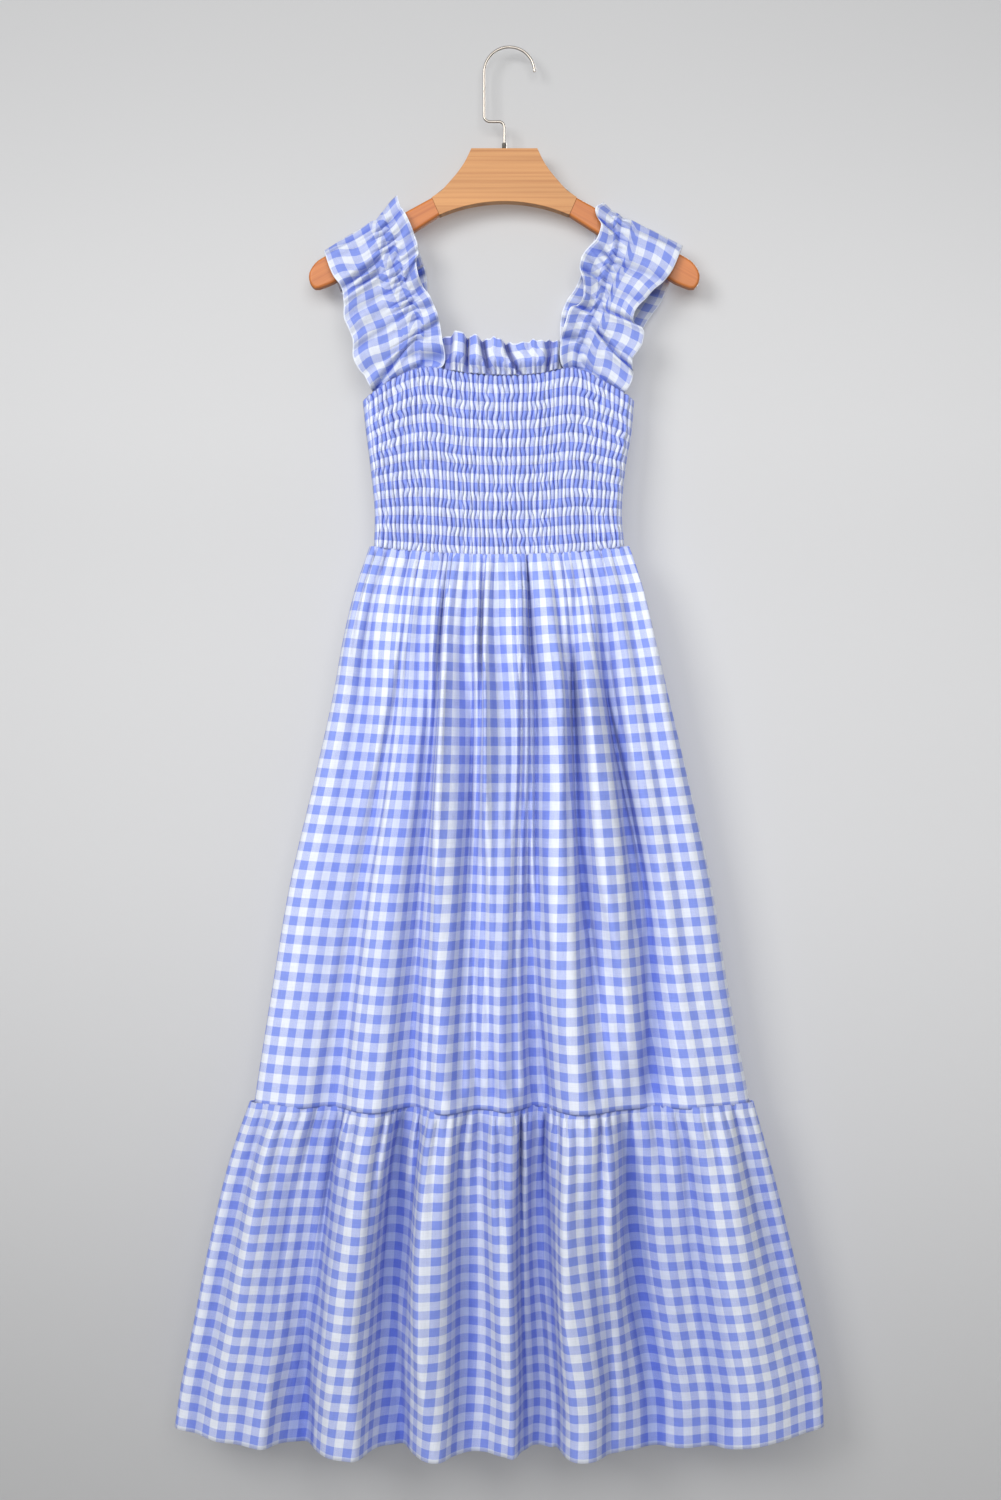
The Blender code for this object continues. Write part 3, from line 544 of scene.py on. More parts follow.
def ruffled_row(panel, drop, curve, spread, waves):
    """The row with its small gathers, at points that share its cloth out evenly, and how much painted shade
    each point gets for how deep it lies.
    """
    x, y = curve
    step = x[1] - x[0]
    slope = np.gradient(lengths(x, y)) / step
    room = np.sqrt(np.maximum((panel.cut_width * spread / step) ** 2 - slope**2, 0.01))
    place = np.cumsum(spread) - spread[0]
    place /= place[-1]
    wave = waves(place, drop) * blurred(room, ROOM_BLUR)
    amount = solve(lambda high: lengths(x, y + high * wave)[-1], panel.cut_width, MOST_GATHER)
    puffed = grown(FIRST_PUFF, drop * panel.cut_length / PUFF_LENGTH)
    if below_waist(panel):
        puffed *= grown(LAST_PUFF, (1 - drop) * panel.cut_length / SETTLE_LENGTH)
    ripple = min(amount, MOST_RIPPLE) * puffed * wave
    rough = y + ripple
    stops = lengths(x, rough)
    cloth = stops / stops[-1]
    cloth -= blurred(cloth - place, THREAD_BLUR)
    cloth = np.maximum.accumulate(cloth) + np.linspace(0, 1e-6, SAMPLES)
    cloth = (cloth - cloth[0]) / (cloth[-1] - cloth[0])
    # Painted shade: more deep in the large folds and in the recesses of the small gathers.
    depth = 0.75 * fold_depth(panel, drop, x) ** 1.5 + 0.6 * np.clip(-ripple / FULL_HOLLOW, 0, 1)
    even = np.linspace(0, 1, panel.columns + 1)
    return [np.interp(even, cloth, values) for values in (x, rough, np.clip(depth, 0, 1))]


def gathered_panel(panel, material):
    waves = gather_waves(panel)
    rng = np.random.default_rng(panel.seed + 50)
    lean, sway = wander(rng, 9), wander(rng, 5)
    drops = np.linspace(0, 1, panel.rows + 1) ** 1.25
    curves = [large_folds(panel, drop) for drop in drops]
    spreads = cloth_spread(curves, drops)
    place = np.linspace(0, 1, panel.columns + 1)
    lines, depths = [], []
    for drop, curve, spread in zip(drops, curves, spreads):
        x, y, depth = ruffled_row(panel, drop, curve, spread, waves)
        depths.append(depth)
        if below_waist(panel):
            risen = grown(WAIST_SHARE, drop * panel.cut_length / WAIST_REACH)
            y -= (1 - risen) * np.maximum(y - WAIST_LEVEL, 0)
        y += LEAN * lean(place) * np.sin(2 * pi * (1.7 * drop + sway(place))) * np.sin(pi * place)
        tucked = 1 - smooth_step(drop * panel.cut_length / TUCK_LENGTH)
        y -= tucked * np.where(y > 2 * TUCK_DEPTH, TUCK_DEPTH, y / 2)
        across = across_dress(x)
        top = panel.top_z + panel.top_lift * across**2 + TUCK_HEIGHT
        bottom = panel.bottom_z + panel.bottom_lift * across**4
        lines.append(row_points(x, y, panel.facing, drop, top, bottom))
    across, down = np.meshgrid(place * panel.cut_width, drops * panel.cut_length)
    piece = cloth_piece(panel.node, turned(panel.facing, lines, across, down, depths), material)


# --- bodice ---
CHANNELS = 20  # between the rows of elastic
BODICE_GATHERS = 58
CHANNEL_TURN, BROAD_TURN = 2.3, 2.0  # how far gathers shift from channel to channel and in all
RIB_HEIGHT, RIB_PUFF, CHANNEL_PUFF = 0.0021, 0.0005, 0.0015
RIB_CHANGE, RIB_SWAY = 0.45, 0.0001
SIDE_INSET = 0.006  # over which the ribs fade out at the sides
# Painted shade on the bodice: how much falls along the rows of elastic, how much in the recesses between
# ribs, and the wave level below which a recess gets it.
ELASTIC_ROW_SHADE, RECESS_SHADE, RECESS_LEVEL = 0.3, 1.7, 0.24


def neckline_z(x):
    return glide(x, column(NECKLINE, "x"), column(NECKLINE, "z"))


def bodice_panel(node, facing, columns, rows, seed, material):
    """Shirred cloth: rows of elastic draw it into narrow gathers that shift a little in each channel."""
    rng = np.random.default_rng(seed)
    shifts = [wander(rng, 22) for _ in range(CHANNELS + 2)]
    sizes = [wander(rng, 40) for _ in range(CHANNELS + 2)]
    broad = wander(rng, 9)
    place = np.linspace(0, 1, columns + 1)
    lines, depths = [], []
    for drop in np.linspace(0, 1, rows + 1):
        left, right = side_edges(BODICE_SIDES, drop)
        channel = drop * CHANNELS
        low = min(int(channel), CHANNELS - 1)
        f = smooth_step(channel - low)
        shift = shifts[low](place) * (1 - f) + shifts[low + 1](place) * f
        size = sizes[low](place) * (1 - f) + sizes[low + 1](place) * f
        turn = 2 * pi * BODICE_GATHERS * place + CHANNEL_TURN * shift + BROAD_TURN * broad(place)
        wave = gather_wave(turn, 0.9)
        puff = abs(sin(pi * channel)) ** 0.5
        x = left + (right - left) * place - RIB_SWAY * np.sin(turn)
        x[0], x[-1] = left, right
        inward = np.minimum(x - left, right - x)
        inset = np.clip(inward / SIDE_INSET, 0, 1)
        ribs = (RIB_HEIGHT + RIB_PUFF * puff) * (1 + RIB_CHANGE * size) * wave
        y = BODICE_HALF_DEPTH * round_side(inward, BODICE_HALF_DEPTH) + inset * (ribs + CHANNEL_PUFF * puff)
        # Painted shade along the elastic and in the recesses between ribs.
        recess = RECESS_SHADE * np.clip(RECESS_LEVEL - wave, 0, 1)
        depths.append(inset * np.clip(ELASTIC_ROW_SHADE * (1 - puff) + recess, 0, 1))
        bottom = WAIST_MIDDLE_Z + WAIST_LIFT * across_dress(x) ** 2 + SEAM_GAP
        lines.append(row_points(x, y, facing, drop, neckline_z(x), bottom))
    across, down = np.meshgrid(place * BODICE_WIDTH, np.linspace(0, BODICE_LENGTH, rows + 1))
    piece = cloth_piece(node, turned(facing, lines, across, down, depths), material)


# --- straps ---
Edge = namedtuple("Edge", "drop x z")
LEFT_OUTER = table(Edge,
    (0.0, -0.1927, -0.2107), (0.18, -0.1823, -0.2393), (0.28, -0.1733, -0.2533),
    (0.385, -0.1709, -0.27), (0.46, -0.1709, -0.2835), (0.53, -0.1657, -0.296),
    (0.6, -0.1618, -0.3064), (0.7, -0.1618, -0.323), (0.8, -0.1558, -0.3365),
    (1.0, -0.1376, -0.349),
)
LEFT_LINE = table(Edge,
    (0.0, -0.1386, -0.1795), (0.146, -0.1282, -0.2013), (0.3, -0.1215, -0.2253),
    (0.53, -0.1074, -0.2606), (0.7, -0.0956, -0.2851), (0.766, -0.095, -0.296),
    (0.87, -0.0981, -0.3105), (1.0, -0.0929, -0.3324),
)
LEFT_INNER = table(Edge,
    (0.0, -0.1168, -0.1566), (0.1, -0.1077, -0.1753), (0.19, -0.1012, -0.1889),
    (0.36, -0.0939, -0.218), (0.42, -0.0963, -0.2253), (0.49, -0.0933, -0.2419),
    (0.6, -0.081, -0.2637), (0.7, -0.0742, -0.2793), (0.84, -0.069, -0.3075),
    (0.93, -0.0672, -0.3225), (1.0, -0.079, -0.3345),
)
RIGHT_OUTER = table(Edge,
    (0.0, 0.1802, -0.2057), (0.2, 0.165, -0.2393), (0.36, 0.1451, -0.2592),
    (0.49, 0.1297, -0.2773), (0.54, 0.1276, -0.2851), (0.64, 0.139, -0.2988),
    (0.7, 0.1375, -0.3095), (0.82, 0.1266, -0.3293), (0.87, 0.1283, -0.3384),
    (1.0, 0.113, -0.3553),
)
RIGHT_LINE = table(Edge,
    (0.0, 0.1172, -0.1765), (0.246, 0.1099, -0.2211), (0.35, 0.1026, -0.2377),
    (0.5, 0.0974, -0.2592), (0.69, 0.0839, -0.2877), (0.8, 0.0777, -0.3043),
    (0.92, 0.0704, -0.323), (1.0, 0.0704, -0.3345),
)
RIGHT_INNER = table(Edge,
    (0.0, 0.0974, -0.1577), (0.08, 0.0887, -0.1707), (0.19, 0.0945, -0.1889),
    (0.254, 0.0902, -0.2011), (0.346, 0.0777, -0.2149), (0.42, 0.0725, -0.2284),
    (0.54, 0.0766, -0.2513), (0.605, 0.075, -0.2652), (0.68, 0.063, -0.2729),
    (0.76, 0.0579, -0.2877), (0.86, 0.0525, -0.308), (0.93, 0.053, -0.323),
    (1.0, 0.064, -0.3365),
)
LEFT_BACK_OUTER = table(Edge, LEFT_OUTER[0], (0.5, -0.1657, -0.2769), (1.0, -0.1397, -0.35))
LEFT_BACK_LINE = table(Edge, LEFT_LINE[0], (0.5, -0.1137, -0.2533), (1.0, -0.0929, -0.3334))
LEFT_BACK_INNER = table(Edge,
    LEFT_INNER[0], (0.25, -0.0985, -0.196), (0.45, -0.0868, -0.232),
    (0.6, -0.085, -0.26), (1.0, -0.07, -0.3355),
)
RIGHT_BACK_OUTER = table(Edge,
    RIGHT_OUTER[0], (0.3, 0.1672, -0.242), (0.45, 0.1588, -0.261),
    (0.6, 0.145, -0.28), (1.0, 0.1172, -0.3532),
)
RIGHT_BACK_LINE = table(Edge, RIGHT_LINE[0], (0.5, 0.0985, -0.2513), (1.0, 0.0714, -0.3345))
RIGHT_BACK_INNER = table(Edge,
    RIGHT_INNER[0], (0.3, 0.086, -0.203), (0.5, 0.07, -0.243),
    (0.65, 0.057, -0.265), (1.0, 0.054, -0.3355),
)
STRAP_TURN = 0.06  # share of a half in which the strip turns over the hanger's arm
OUTER_SHARE = 0.66  # of the strip's cut width, outside the shirred line
STRAP_TUCK = 0.0015  # how far its end goes down behind the bodice's top edge

# Creases of a strap: the side of the shirred line, where they leave it and reach the edge as shares of a
# half's drop, and how far across they begin.
Crease = namedtuple("Crease", "side at_line at_edge begins deep wide")
LEFT_CREASES = table(Crease,
    (-1, 0.05, 0.03, 0.0, 0.003, 0.02), (-1, 0.225, 0.285, 0.1, 0.006, 0.017),
    (-1, 0.305, 0.325, 0.2, 0.0055, 0.016), (-1, 0.44, 0.47, 0.0, 0.0024, 0.022),
    (-1, 0.62, 0.66, 0.0, 0.0026, 0.024), (-1, 0.835, 0.965, 0.0, 0.0062, 0.016),
    (1, 0.1, 0.06, 0.1, 0.003, 0.03), (1, 0.3, 0.24, 0.0, 0.0034, 0.024),
    (1, 0.46, 0.42, 0.2, 0.006, 0.022), (1, 0.58, 0.54, 0.0, 0.003, 0.02),
    (1, 0.775, 0.74, 0.1, 0.005, 0.015), (1, 0.93, 0.9, 0.1, 0.005, 0.026),
)
RIGHT_CREASES = table(Crease,
    (-1, 0.04, 0.02, 0.0, 0.002, 0.022), (-1, 0.26, 0.24, 0.0, 0.0026, 0.024),
    (-1, 0.47, 0.4, 0.0, 0.0024, 0.024), (-1, 0.575, 0.57, 0.0, 0.0036, 0.018),
    (-1, 0.695, 0.86, 0.0, 0.0066, 0.014), (-1, 0.9, 0.985, 0.0, 0.0044, 0.018),
    (1, 0.1, 0.14, 0.1, 0.005, 0.022), (1, 0.26, 0.3, 0.0, 0.0034, 0.024),
    (1, 0.41, 0.44, 0.2, 0.005, 0.02), (1, 0.62, 0.64, 0.1, 0.0056, 0.02),
    (1, 0.8, 0.84, 0.1, 0.004, 0.022),
)
STRAP_ROWS, STRAP_COLUMNS = 130, 60  # rows in each half
PUCKERS, PUCKER_HEIGHT, PUCKER_REACH = 17, 0.0031, 0.013
PUCKER_TURN, PUCKER_SLANT = 3.2, 70
FINE_PUCKERS, FINE_HEIGHT = 41, 0.0007
BILLOWS, OUTER_BILLOW, INNER_BILLOW, BILLOW_START = 6.5, 0.0013, 0.0026, 0.02
GROOVE_DEPTH, GROOVE_WIDTH = 0.0026, 0.0045
EDGE_LIFT, END_SETTLE = 0.006, 0.0042
SEWN_HEIGHT, SEWN_LENGTH = 0.35, 0.05  # how the ruffle flattens where it is sewn to the bodice


def strap_height(drop, across, creases, waves):
    """How far the ruffle stands out of the strip's plain form, and how much painted shade each point gets for
    how deep in a crease it lies.
    """
    away = np.abs(across)
    distance = away * np.where(across < 0, OUTER_SHARE, 1 - OUTER_SHARE) * STRAP_WIDTH
    pucker, reach, slant, billow, sizes = waves
    near = np.exp(-((distance / (PUCKER_REACH * (1 + 0.5 * reach(drop)))) ** 1.5))
    turn = 2 * pi * PUCKERS * drop + PUCKER_TURN * pucker(drop) + PUCKER_SLANT * distance * slant(drop)
    small = PUCKER_HEIGHT * (1 + 0.4 * sizes(drop)) * gather_wave(turn, 0.8) * near
    fine_turn = 2 * pi * FINE_PUCKERS * drop + 5 * slant(drop) + 1.5 * across
    fine = FINE_HEIGHT * np.sin(fine_turn) * near**0.6
    swing = 2 * pi * BILLOWS * drop + 2.8 * billow(drop) + np.where(across < 0, 0.0, 2.0)
    billow_height = np.where(across < 0, OUTER_BILLOW, INNER_BILLOW) * smooth_step(distance / BILLOW_START)
    large = billow_height * np.sin(swing)
    crease = np.zeros_like(distance)
    for c in creases:
        middle = c.at_line + (c.at_edge - c.at_line) * away
        on_side = smooth_step((away - c.begins) / 0.15) * (np.sign(across) == c.side)
        gap = np.abs((drop - middle) / (c.wide * (0.7 + 0.6 * away)))
        crease -= c.deep * on_side * (np.exp(-(gap**1.6)) - 0.5 * np.exp(-((gap - 1.9) ** 2)))
    groove = -GROOVE_DEPTH * np.exp(-((distance / GROOVE_WIDTH) ** 2))
    # Painted shade: in full in puckers, creases and the groove as deep as these.
    recesses = ((small, 0.0022), (crease, 0.0045), (groove, 0.008))
    shade_amount = sum(np.clip(-height / full, 0, 1) for height, full in recesses)
    return small + fine + large + crease + groove, np.clip(shade_amount, 0, 1)


def strap_half(edges, facing, drops, across, creases, waves):
    """One side of the strip, from the hanger's arm down to the bodice: X, Y, Z and painted shade of each
    point.
    """
    drop, side = np.meshgrid(drops, across, indexing="ij")
    away = np.abs(side)

    def along(name):
        outer, middle, inner = (glide(drop, column(edge, "drop"), column(edge, name)) for edge in edges)
        return middle + (np.where(side < 0, outer, inner) - middle) * away

    x, z = along("x"), along("z")
    turn = np.clip(drop / STRAP_TURN, 0, 1) * pi / 2
    height, shade_amount = strap_height(drop, side, creases, waves)
    height *= grown(SEWN_HEIGHT, (1 - drop) / SEWN_LENGTH)
    lift = EDGE_LIFT * smooth_step((away - 0.3) / 0.7) * np.sin(pi * np.clip(drop, 0, 1)) ** 0.5
    y = STRAP_HALF_DEPTH * np.sin(turn) + (height + lift) * np.sin(turn) + 0.001
    y -= END_SETTLE * smooth_step((drop - 0.93) / 0.07)
    z = z + height * np.cos(turn)
    z += (neckline_z(x) - STRAP_TUCK - z) * smooth_step((drop - 0.86) / 0.14)
    return np.stack([x, facing * y, z, shade_amount], axis=-1)


def strap_waves(rng):
    return [wander(rng, pieces) for pieces in (17, 22, 11, 8, 20)]


def strap(node, front, back, creases, seed, material):
    rng = np.random.default_rng(seed)
    across = np.linspace(-1, 1, STRAP_COLUMNS + 1)
    across = np.sign(across) * np.abs(across) ** 1.25
    drops = np.linspace(0, 1, STRAP_ROWS + 1) ** 1.08
    before = strap_half(front, -1, drops, across, creases, strap_waves(rng))
    behind = strap_half(back, 1, drops, across, creases[::2], strap_waves(rng))
    both = np.concatenate([behind[:0:-1], before])
    grid, shade_amount = both[..., :3], both[..., 3]
    step = np.linalg.norm(np.diff(grid, axis=0), axis=-1)
    down = np.concatenate([np.zeros((1, step.shape[1])), np.cumsum(step, axis=0)])
    down = down / down[-1] * STRAP_LENGTH
    place = np.where(across < 0, across * OUTER_SHARE, across * (1 - OUTER_SHARE)) * STRAP_WIDTH
    mirrored = 1 if front[0][0].x > front[2][0].x else -1
    layers = turned(mirrored, grid, np.broadcast_to(place, down.shape), down, shade_amount)
    piece = cloth_piece(node, layers, material)


# --- neck frills ---
Pleat = namedtuple("Pleat", "top_x seam_x deep top_wide seam_wide")
FRONT_PLEATS = table(Pleat,
    (-0.064, -0.064, 1.0, 0.0058, 0.0034), (-0.0436, -0.0442, 1.0, 0.0024, 0.0022),
    (-0.0285, -0.02, 1.0, 0.0034, 0.0026), (-0.0045, 0.012, 1.0, 0.0034, 0.0026),
    (0.044, 0.0385, 1.0, 0.004, 0.0034),
)
BACK_PLEATS = table(Pleat,
    (-0.056, -0.058, 0.8, 0.003, 0.0022), (-0.035, -0.037, 1.0, 0.003, 0.0022),
    (-0.012, -0.006, 0.9, 0.004, 0.0024), (0.016, 0.019, 1.0, 0.0026, 0.0022),
    (0.038, 0.036, 0.8, 0.003, 0.0024),
)
FRILL_LEFT_X, FRILL_RIGHT_X = -0.076, 0.062
FRILL_TOP = ((-0.076, -0.068, -0.055, -0.03, -0.005, 0.003, 0.015, 0.03, 0.054, 0.062),
             (0.022, 0.034, 0.0385, 0.037, 0.036, 0.029, 0.033, 0.033, 0.029, 0.02))
PLEAT_DEPTH = 0.014
FRILL_BASE, END_STEP = 0.0046, 0.0028  # from the middle plane, at its ends and more inside them
FRILL_GATHERS, GATHER_HEIGHT = 26, 0.0024
SWAYS, SWAY_HEIGHT, SWAY_CURL = 7, 0.0024, 0.0013
TILT = 0.0012
PLEAT_FOOT = 0.35  # share of a pleat's depth at the seam


def frill(node, facing, pleats, columns, rows, seed, material):
    rng = np.random.default_rng(seed)
    tiny, sizes, tilt = wander(rng, 14), wander(rng, 20), wander(rng, 6)
    x = np.linspace(FRILL_LEFT_X, FRILL_RIGHT_X, SAMPLES)
    near_end = np.minimum(x - FRILL_LEFT_X, FRILL_RIGHT_X - x)
    ends = smooth_step((near_end - 0.008) / 0.006)
    base = FRILL_BASE + END_STEP * smooth_step((near_end - 0.004) / 0.01)
    place = (x - x[0]) / (x[-1] - x[0])
    turn = 2 * pi * FRILL_GATHERS * place + 3 * tiny(place)
    sway = 2 * pi * SWAYS * place + 1.5 * sizes(place)
    rises = np.linspace(1, 0, rows + 1)
    lines, depths = [], []
    for rise in rises:
        depth = np.zeros_like(x)
        for pleat in pleats:
            middle = pleat.seam_x + (pleat.top_x - pleat.seam_x) * rise**0.8
            wide = pleat.seam_wide + (pleat.top_wide - pleat.seam_wide) * rise
            depth += pleat.deep * np.exp(-(np.abs((x - middle) / wide) ** 2.4))
        bulge = PLEAT_DEPTH * grown(PLEAT_FOOT, rise / 0.4) * (1 - np.minimum(depth, 1)) * ends
        small = GATHER_HEIGHT * (1 + 0.5 * sizes(place)) * np.sin(turn) * (1 - smooth_step(rise / 0.6))
        loose = SWAY_HEIGHT * np.sin(sway) * smooth_step((rise - 0.15) / 0.7) * ends
        y = base + bulge + small + TILT * tilt(place) * rise + loose
        stops = lengths(x, y)
        even = np.linspace(0, stops[-1], columns + 1)
        row_x, row_y = np.interp(even, stops, x), np.interp(even, stops, y)
        curl = SWAY_CURL * np.sin(sway + 0.9) * rise * ends
        height = np.interp(row_x, *FRILL_TOP) * rise + np.interp(row_x, x, curl)
        z = neckline_z(row_x) + SEAM_GAP + height
        lines.append(np.stack([row_x, facing * row_y, z], axis=-1))
        # Painted shade in the pleats' recesses and under the small gathers and sways.
        shade_amount = 1.1 * depth + 330 * np.maximum(-small, 0) + 130 * np.maximum(-loose, 0)
        depths.append(np.interp(even, stops, np.clip(shade_amount, 0, 1)))
    across, down = np.meshgrid(np.linspace(0, FRILL_WIDTH, columns + 1), (1 - rises) * FRILL_LENGTH)
    piece = cloth_piece(node, turned(facing, lines, across, down, depths), material)


# --- hanger ---
Outline = namedtuple("Outline", "x z")
BLOCK_TOP_Z = -0.1057
BLOCK_SHOULDER = table(Outline,
    (0.0342, BLOCK_TOP_Z), (0.0422, -0.1216), (0.0546, -0.1379),
    (0.07, -0.153), (0.0753, -0.1565),
)
JOINT_BOTTOM = Outline(0.0673, -0.1747)
ARCH_TOP_Z = -0.1606
ARM_END = table(Outline,
    (0.185, -0.2164), (0.1945, -0.2224), (0.2005, -0.23), (0.203, -0.2375),
    (0.201, -0.2465), (0.194, -0.251), (0.177, -0.2447),
)
BLOCK_THICKNESS, ARM_THICKNESS = 0.013, 0.012
WOOD_GAP = 0.0001
BLOCK_ROUNDING, ARM_ROUNDING = 0.0022, 0.003
JOINT_REACH = 0.009  # an edge this near to a joint runs along it, and is hardly rounded
JOINT_ROUNDING = 0.12
ARM_SLOPE = radians(28.5)
BLOCK_PALE, BLOCK_GRAIN = (0.5, 0.232, 0.076, 1), (0.39, 0.158, 0.044, 1)
ARM_PALE, ARM_GRAIN = (0.5, 0.165, 0.042, 1), (0.4, 0.115, 0.028, 1)
HOOK_WIRE, HOOK_RADIUS, CRANK_Z, CRANK_BEND = 0.0028, 0.0262, -0.0762, 0.0058
COLLAR_BORE, COLLAR_RADIUS, COLLAR_HEIGHT = 0.0016, 0.00245, 0.007


def slab(node, outline, thickness, rounding, joints, material):
    """A board cut to an outline. Its edges are rounded, but hardly along the joints, given by their X."""
    mesh = bpy.data.meshes.new(node + "_wood")
    work = bmesh.new()
    front = work.faces.new([work.verts.new((x, -thickness / 2, z)) for x, z in outline])
    pushed = bmesh.ops.extrude_face_region(work, geom=[front])
    moved = [item for item in pushed["geom"] if isinstance(item, bmesh.types.BMVert)]
    bmesh.ops.translate(work, verts=moved, vec=(0, thickness, 0))
    bmesh.ops.recalc_face_normals(work, faces=work.faces)
    weight = work.edges.layers.float.new("bevel_weight_edge")
    for edge in work.edges:
        on_joint = all(min(abs(vert.co.x - place) for place in joints) < JOINT_REACH for vert in edge.verts)
        level = abs(edge.verts[0].co.y - edge.verts[1].co.y) < thickness / 2
        fold = edge.calc_face_angle(0) > radians(50)
        edge[weight] = (JOINT_ROUNDING if on_joint else 1.0) if level and fold else 0.0
    work.to_mesh(mesh)
    work.free()
    mesh.shade_smooth()
    mesh.materials.append(material)
    piece = linked(node + "_wood", mesh)
    edges = piece.modifiers.new("Rounding", "BEVEL")
    edges.width = rounding
    edges.segments = 6
    edges.limit_method = "WEIGHT"
    piece.modifiers.new("Flat faces", "WEIGHTED_NORMAL").keep_sharp = True
    declare(piece, node)


def hanger_wood():
    top, bottom = BLOCK_SHOULDER[-1], JOINT_BOTTOM
    z = np.linspace(BLOCK_TOP_Z, top.z, 22)
    x = glide(-z, [-row.z for row in BLOCK_SHOULDER], column(BLOCK_SHOULDER, "x"))
    arch_x = np.linspace(bottom.x, 0, 20)
    sag = ARCH_TOP_Z - bottom.z
    radius = (bottom.x**2 + sag**2) / (2 * sag)
    arch_z = ARCH_TOP_Z - radius + np.sqrt(radius**2 - arch_x**2)
    half = list(zip(x, z)) + list(zip(arch_x, arch_z))
    outline = [(HANGER_X + px, pz) for px, pz in half + [(-px, pz) for px, pz in half[-2::-1]]]
    joints = [HANGER_X - top.x, HANGER_X + top.x]
    pale = wood("block_wood", BLOCK_PALE, BLOCK_GRAIN, 0.0)
    slab("hanger_block", outline, BLOCK_THICKNESS, BLOCK_ROUNDING, joints, pale)
    turn, knots = np.linspace(0, 1, 15), np.linspace(0, 1, len(ARM_END))
    tip = list(zip(*(glide(turn, knots, column(ARM_END, name)) for name in ("x", "z"))))
    half = [(top.x + WOOD_GAP, top.z)] + tip + [(bottom.x + WOOD_GAP, bottom.z)]
    for side, word, joint in zip((-1, 1), ("left", "right"), joints):
        pink = wood("arm_wood_" + word, ARM_PALE, ARM_GRAIN, -side * ARM_SLOPE, 170.0)
        outline = [(HANGER_X + side * px, pz) for px, pz in half]
        slab("hanger_arm_" + word, outline, ARM_THICKNESS, ARM_ROUNDING, [joint], pink)


def arc_points(centre_x, centre_z, radius, start, end, steps):
    turns = [start + (end - start) * step / steps for step in range(steps + 1)]
    return [(centre_x + radius * cos(turn), centre_z + radius * sin(turn)) for turn in turns]


def wire(name, route, radius, material):
    curve = bpy.data.curves.new(name, "CURVE")
    curve.dimensions = "3D"
    curve.bevel_depth = radius
    curve.bevel_resolution = 6
    curve.use_fill_caps = True
    curve.materials.append(material)
    spline = curve.splines.new("POLY")
    spline.points.add(len(route) - 1)
    for point, (x, z) in zip(spline.points, route):
        point.co = (x, 0, z, 1)
    spline.use_smooth = True
    return linked(name, curve)


def hanger_hook(metal):
    bearing_z = -HOOK_RADIUS + HOOK_WIRE / 2
    route = [(HANGER_X, BLOCK_TOP_Z), (HANGER_X, BLOCK_TOP_Z + COLLAR_HEIGHT)]
    route += arc_points(HANGER_X - CRANK_BEND, CRANK_Z - CRANK_BEND, CRANK_BEND, 0, pi / 2, 14)
    route += arc_points(-HOOK_RADIUS + CRANK_BEND, CRANK_Z + CRANK_BEND, CRANK_BEND, -pi / 2, -pi, 14)
    route += arc_points(0, bearing_z, HOOK_RADIUS, pi, radians(1), 64)
    declare(wire("hook_wire", route, HOOK_WIRE / 2, metal), "hanger_hook")
    profile = [
        (COLLAR_BORE, 0.0), (COLLAR_RADIUS + 0.0008, 0.0), (COLLAR_RADIUS + 0.0009, 0.0004),
        (COLLAR_RADIUS + 0.0006, 0.0009), (COLLAR_RADIUS, 0.0012), (COLLAR_RADIUS, COLLAR_HEIGHT - 0.0006),
        (COLLAR_RADIUS - 0.0004, COLLAR_HEIGHT), (COLLAR_BORE, COLLAR_HEIGHT),
    ]
    mesh = bpy.data.meshes.new("hook_sleeve")
    work = bmesh.new()
    ring = [work.verts.new((r, 0, z)) for r, z in profile]
    for first, second in zip(ring, ring[1:] + ring[:1]):
        work.edges.new((second, first))
    work.to_mesh(mesh)
    work.free()
    mesh.materials.append(metal)
    sleeve = linked("hook_sleeve", mesh)
    sleeve.location = (HANGER_X, 0, BLOCK_TOP_Z + 0.0001)
    spin = sleeve.modifiers.new("Turned", "SCREW")
    spin.steps = spin.render_steps = 40
    spin.use_merge_vertices = True
    spin.merge_threshold = 0.00001
    spin.use_smooth_shade = True
    declare(sleeve, "hook_collar")


# --- stage ---
# The backdrop hangs close behind the hanger and stands off behind the skirt.
WALL_HEIGHTS = (-2.6, -0.74, -0.56, -0.4, -0.25, -0.13, 0.1, 1.8)
WALL_DEPTHS = (0.0575, 0.0575, 0.0535, 0.037, 0.026, 0.0215, 0.014, 0.014)
WALL_ROWS = 240
WALL_HALF_WIDTH = 3.0
FLOOR_Z = -1.8
FLOOR_SIZE = 8.0
WALL_PAINT, FLOOR_PAINT = (0.435, 0.435, 0.437, 1), (0.62, 0.62, 0.625, 1)
# The wall's own glow: painted light that lightens the shadows on it.
WALL_GLOW = 0.37
# Painted light on the wall: how its colour dims as the light would, at places from 0, 1.6 m below the hook,
# to 1, 0.4 m above it.
WALL_FOOT, WALL_HEAD = (0.02, (0.7, 0.7, 0.695, 1)), (0.84, (0.78, 0.78, 0.78, 1))
WALL_LEVELS = ((0.22, 0.94), (0.45, 1.04), (0.66, 1.0))
ROOM_COLOUR, ROOM_LIGHT = (0.97, 0.98, 1.0, 1), 0.325
CAMERA_PLACE = (-0.0092, -2.0, -0.7297)
CAMERA_LENS, SENSOR = 46.15, 36.0
Lamp = namedtuple("Lamp", "name place target size power spread")
LAMPS = [
    Lamp("key", (-1.9, -2.8, 0.7), (0, 0, -0.5), 1.5, 20, 85),
    Lamp("front", (0.1, -2.7, 0.25), (0, 0, -0.45), 1.8, 14, 90),
    Lamp("back", (1.2, 2.6, 0.8), (0, 0, -0.7), 2.0, 80, 180),
]


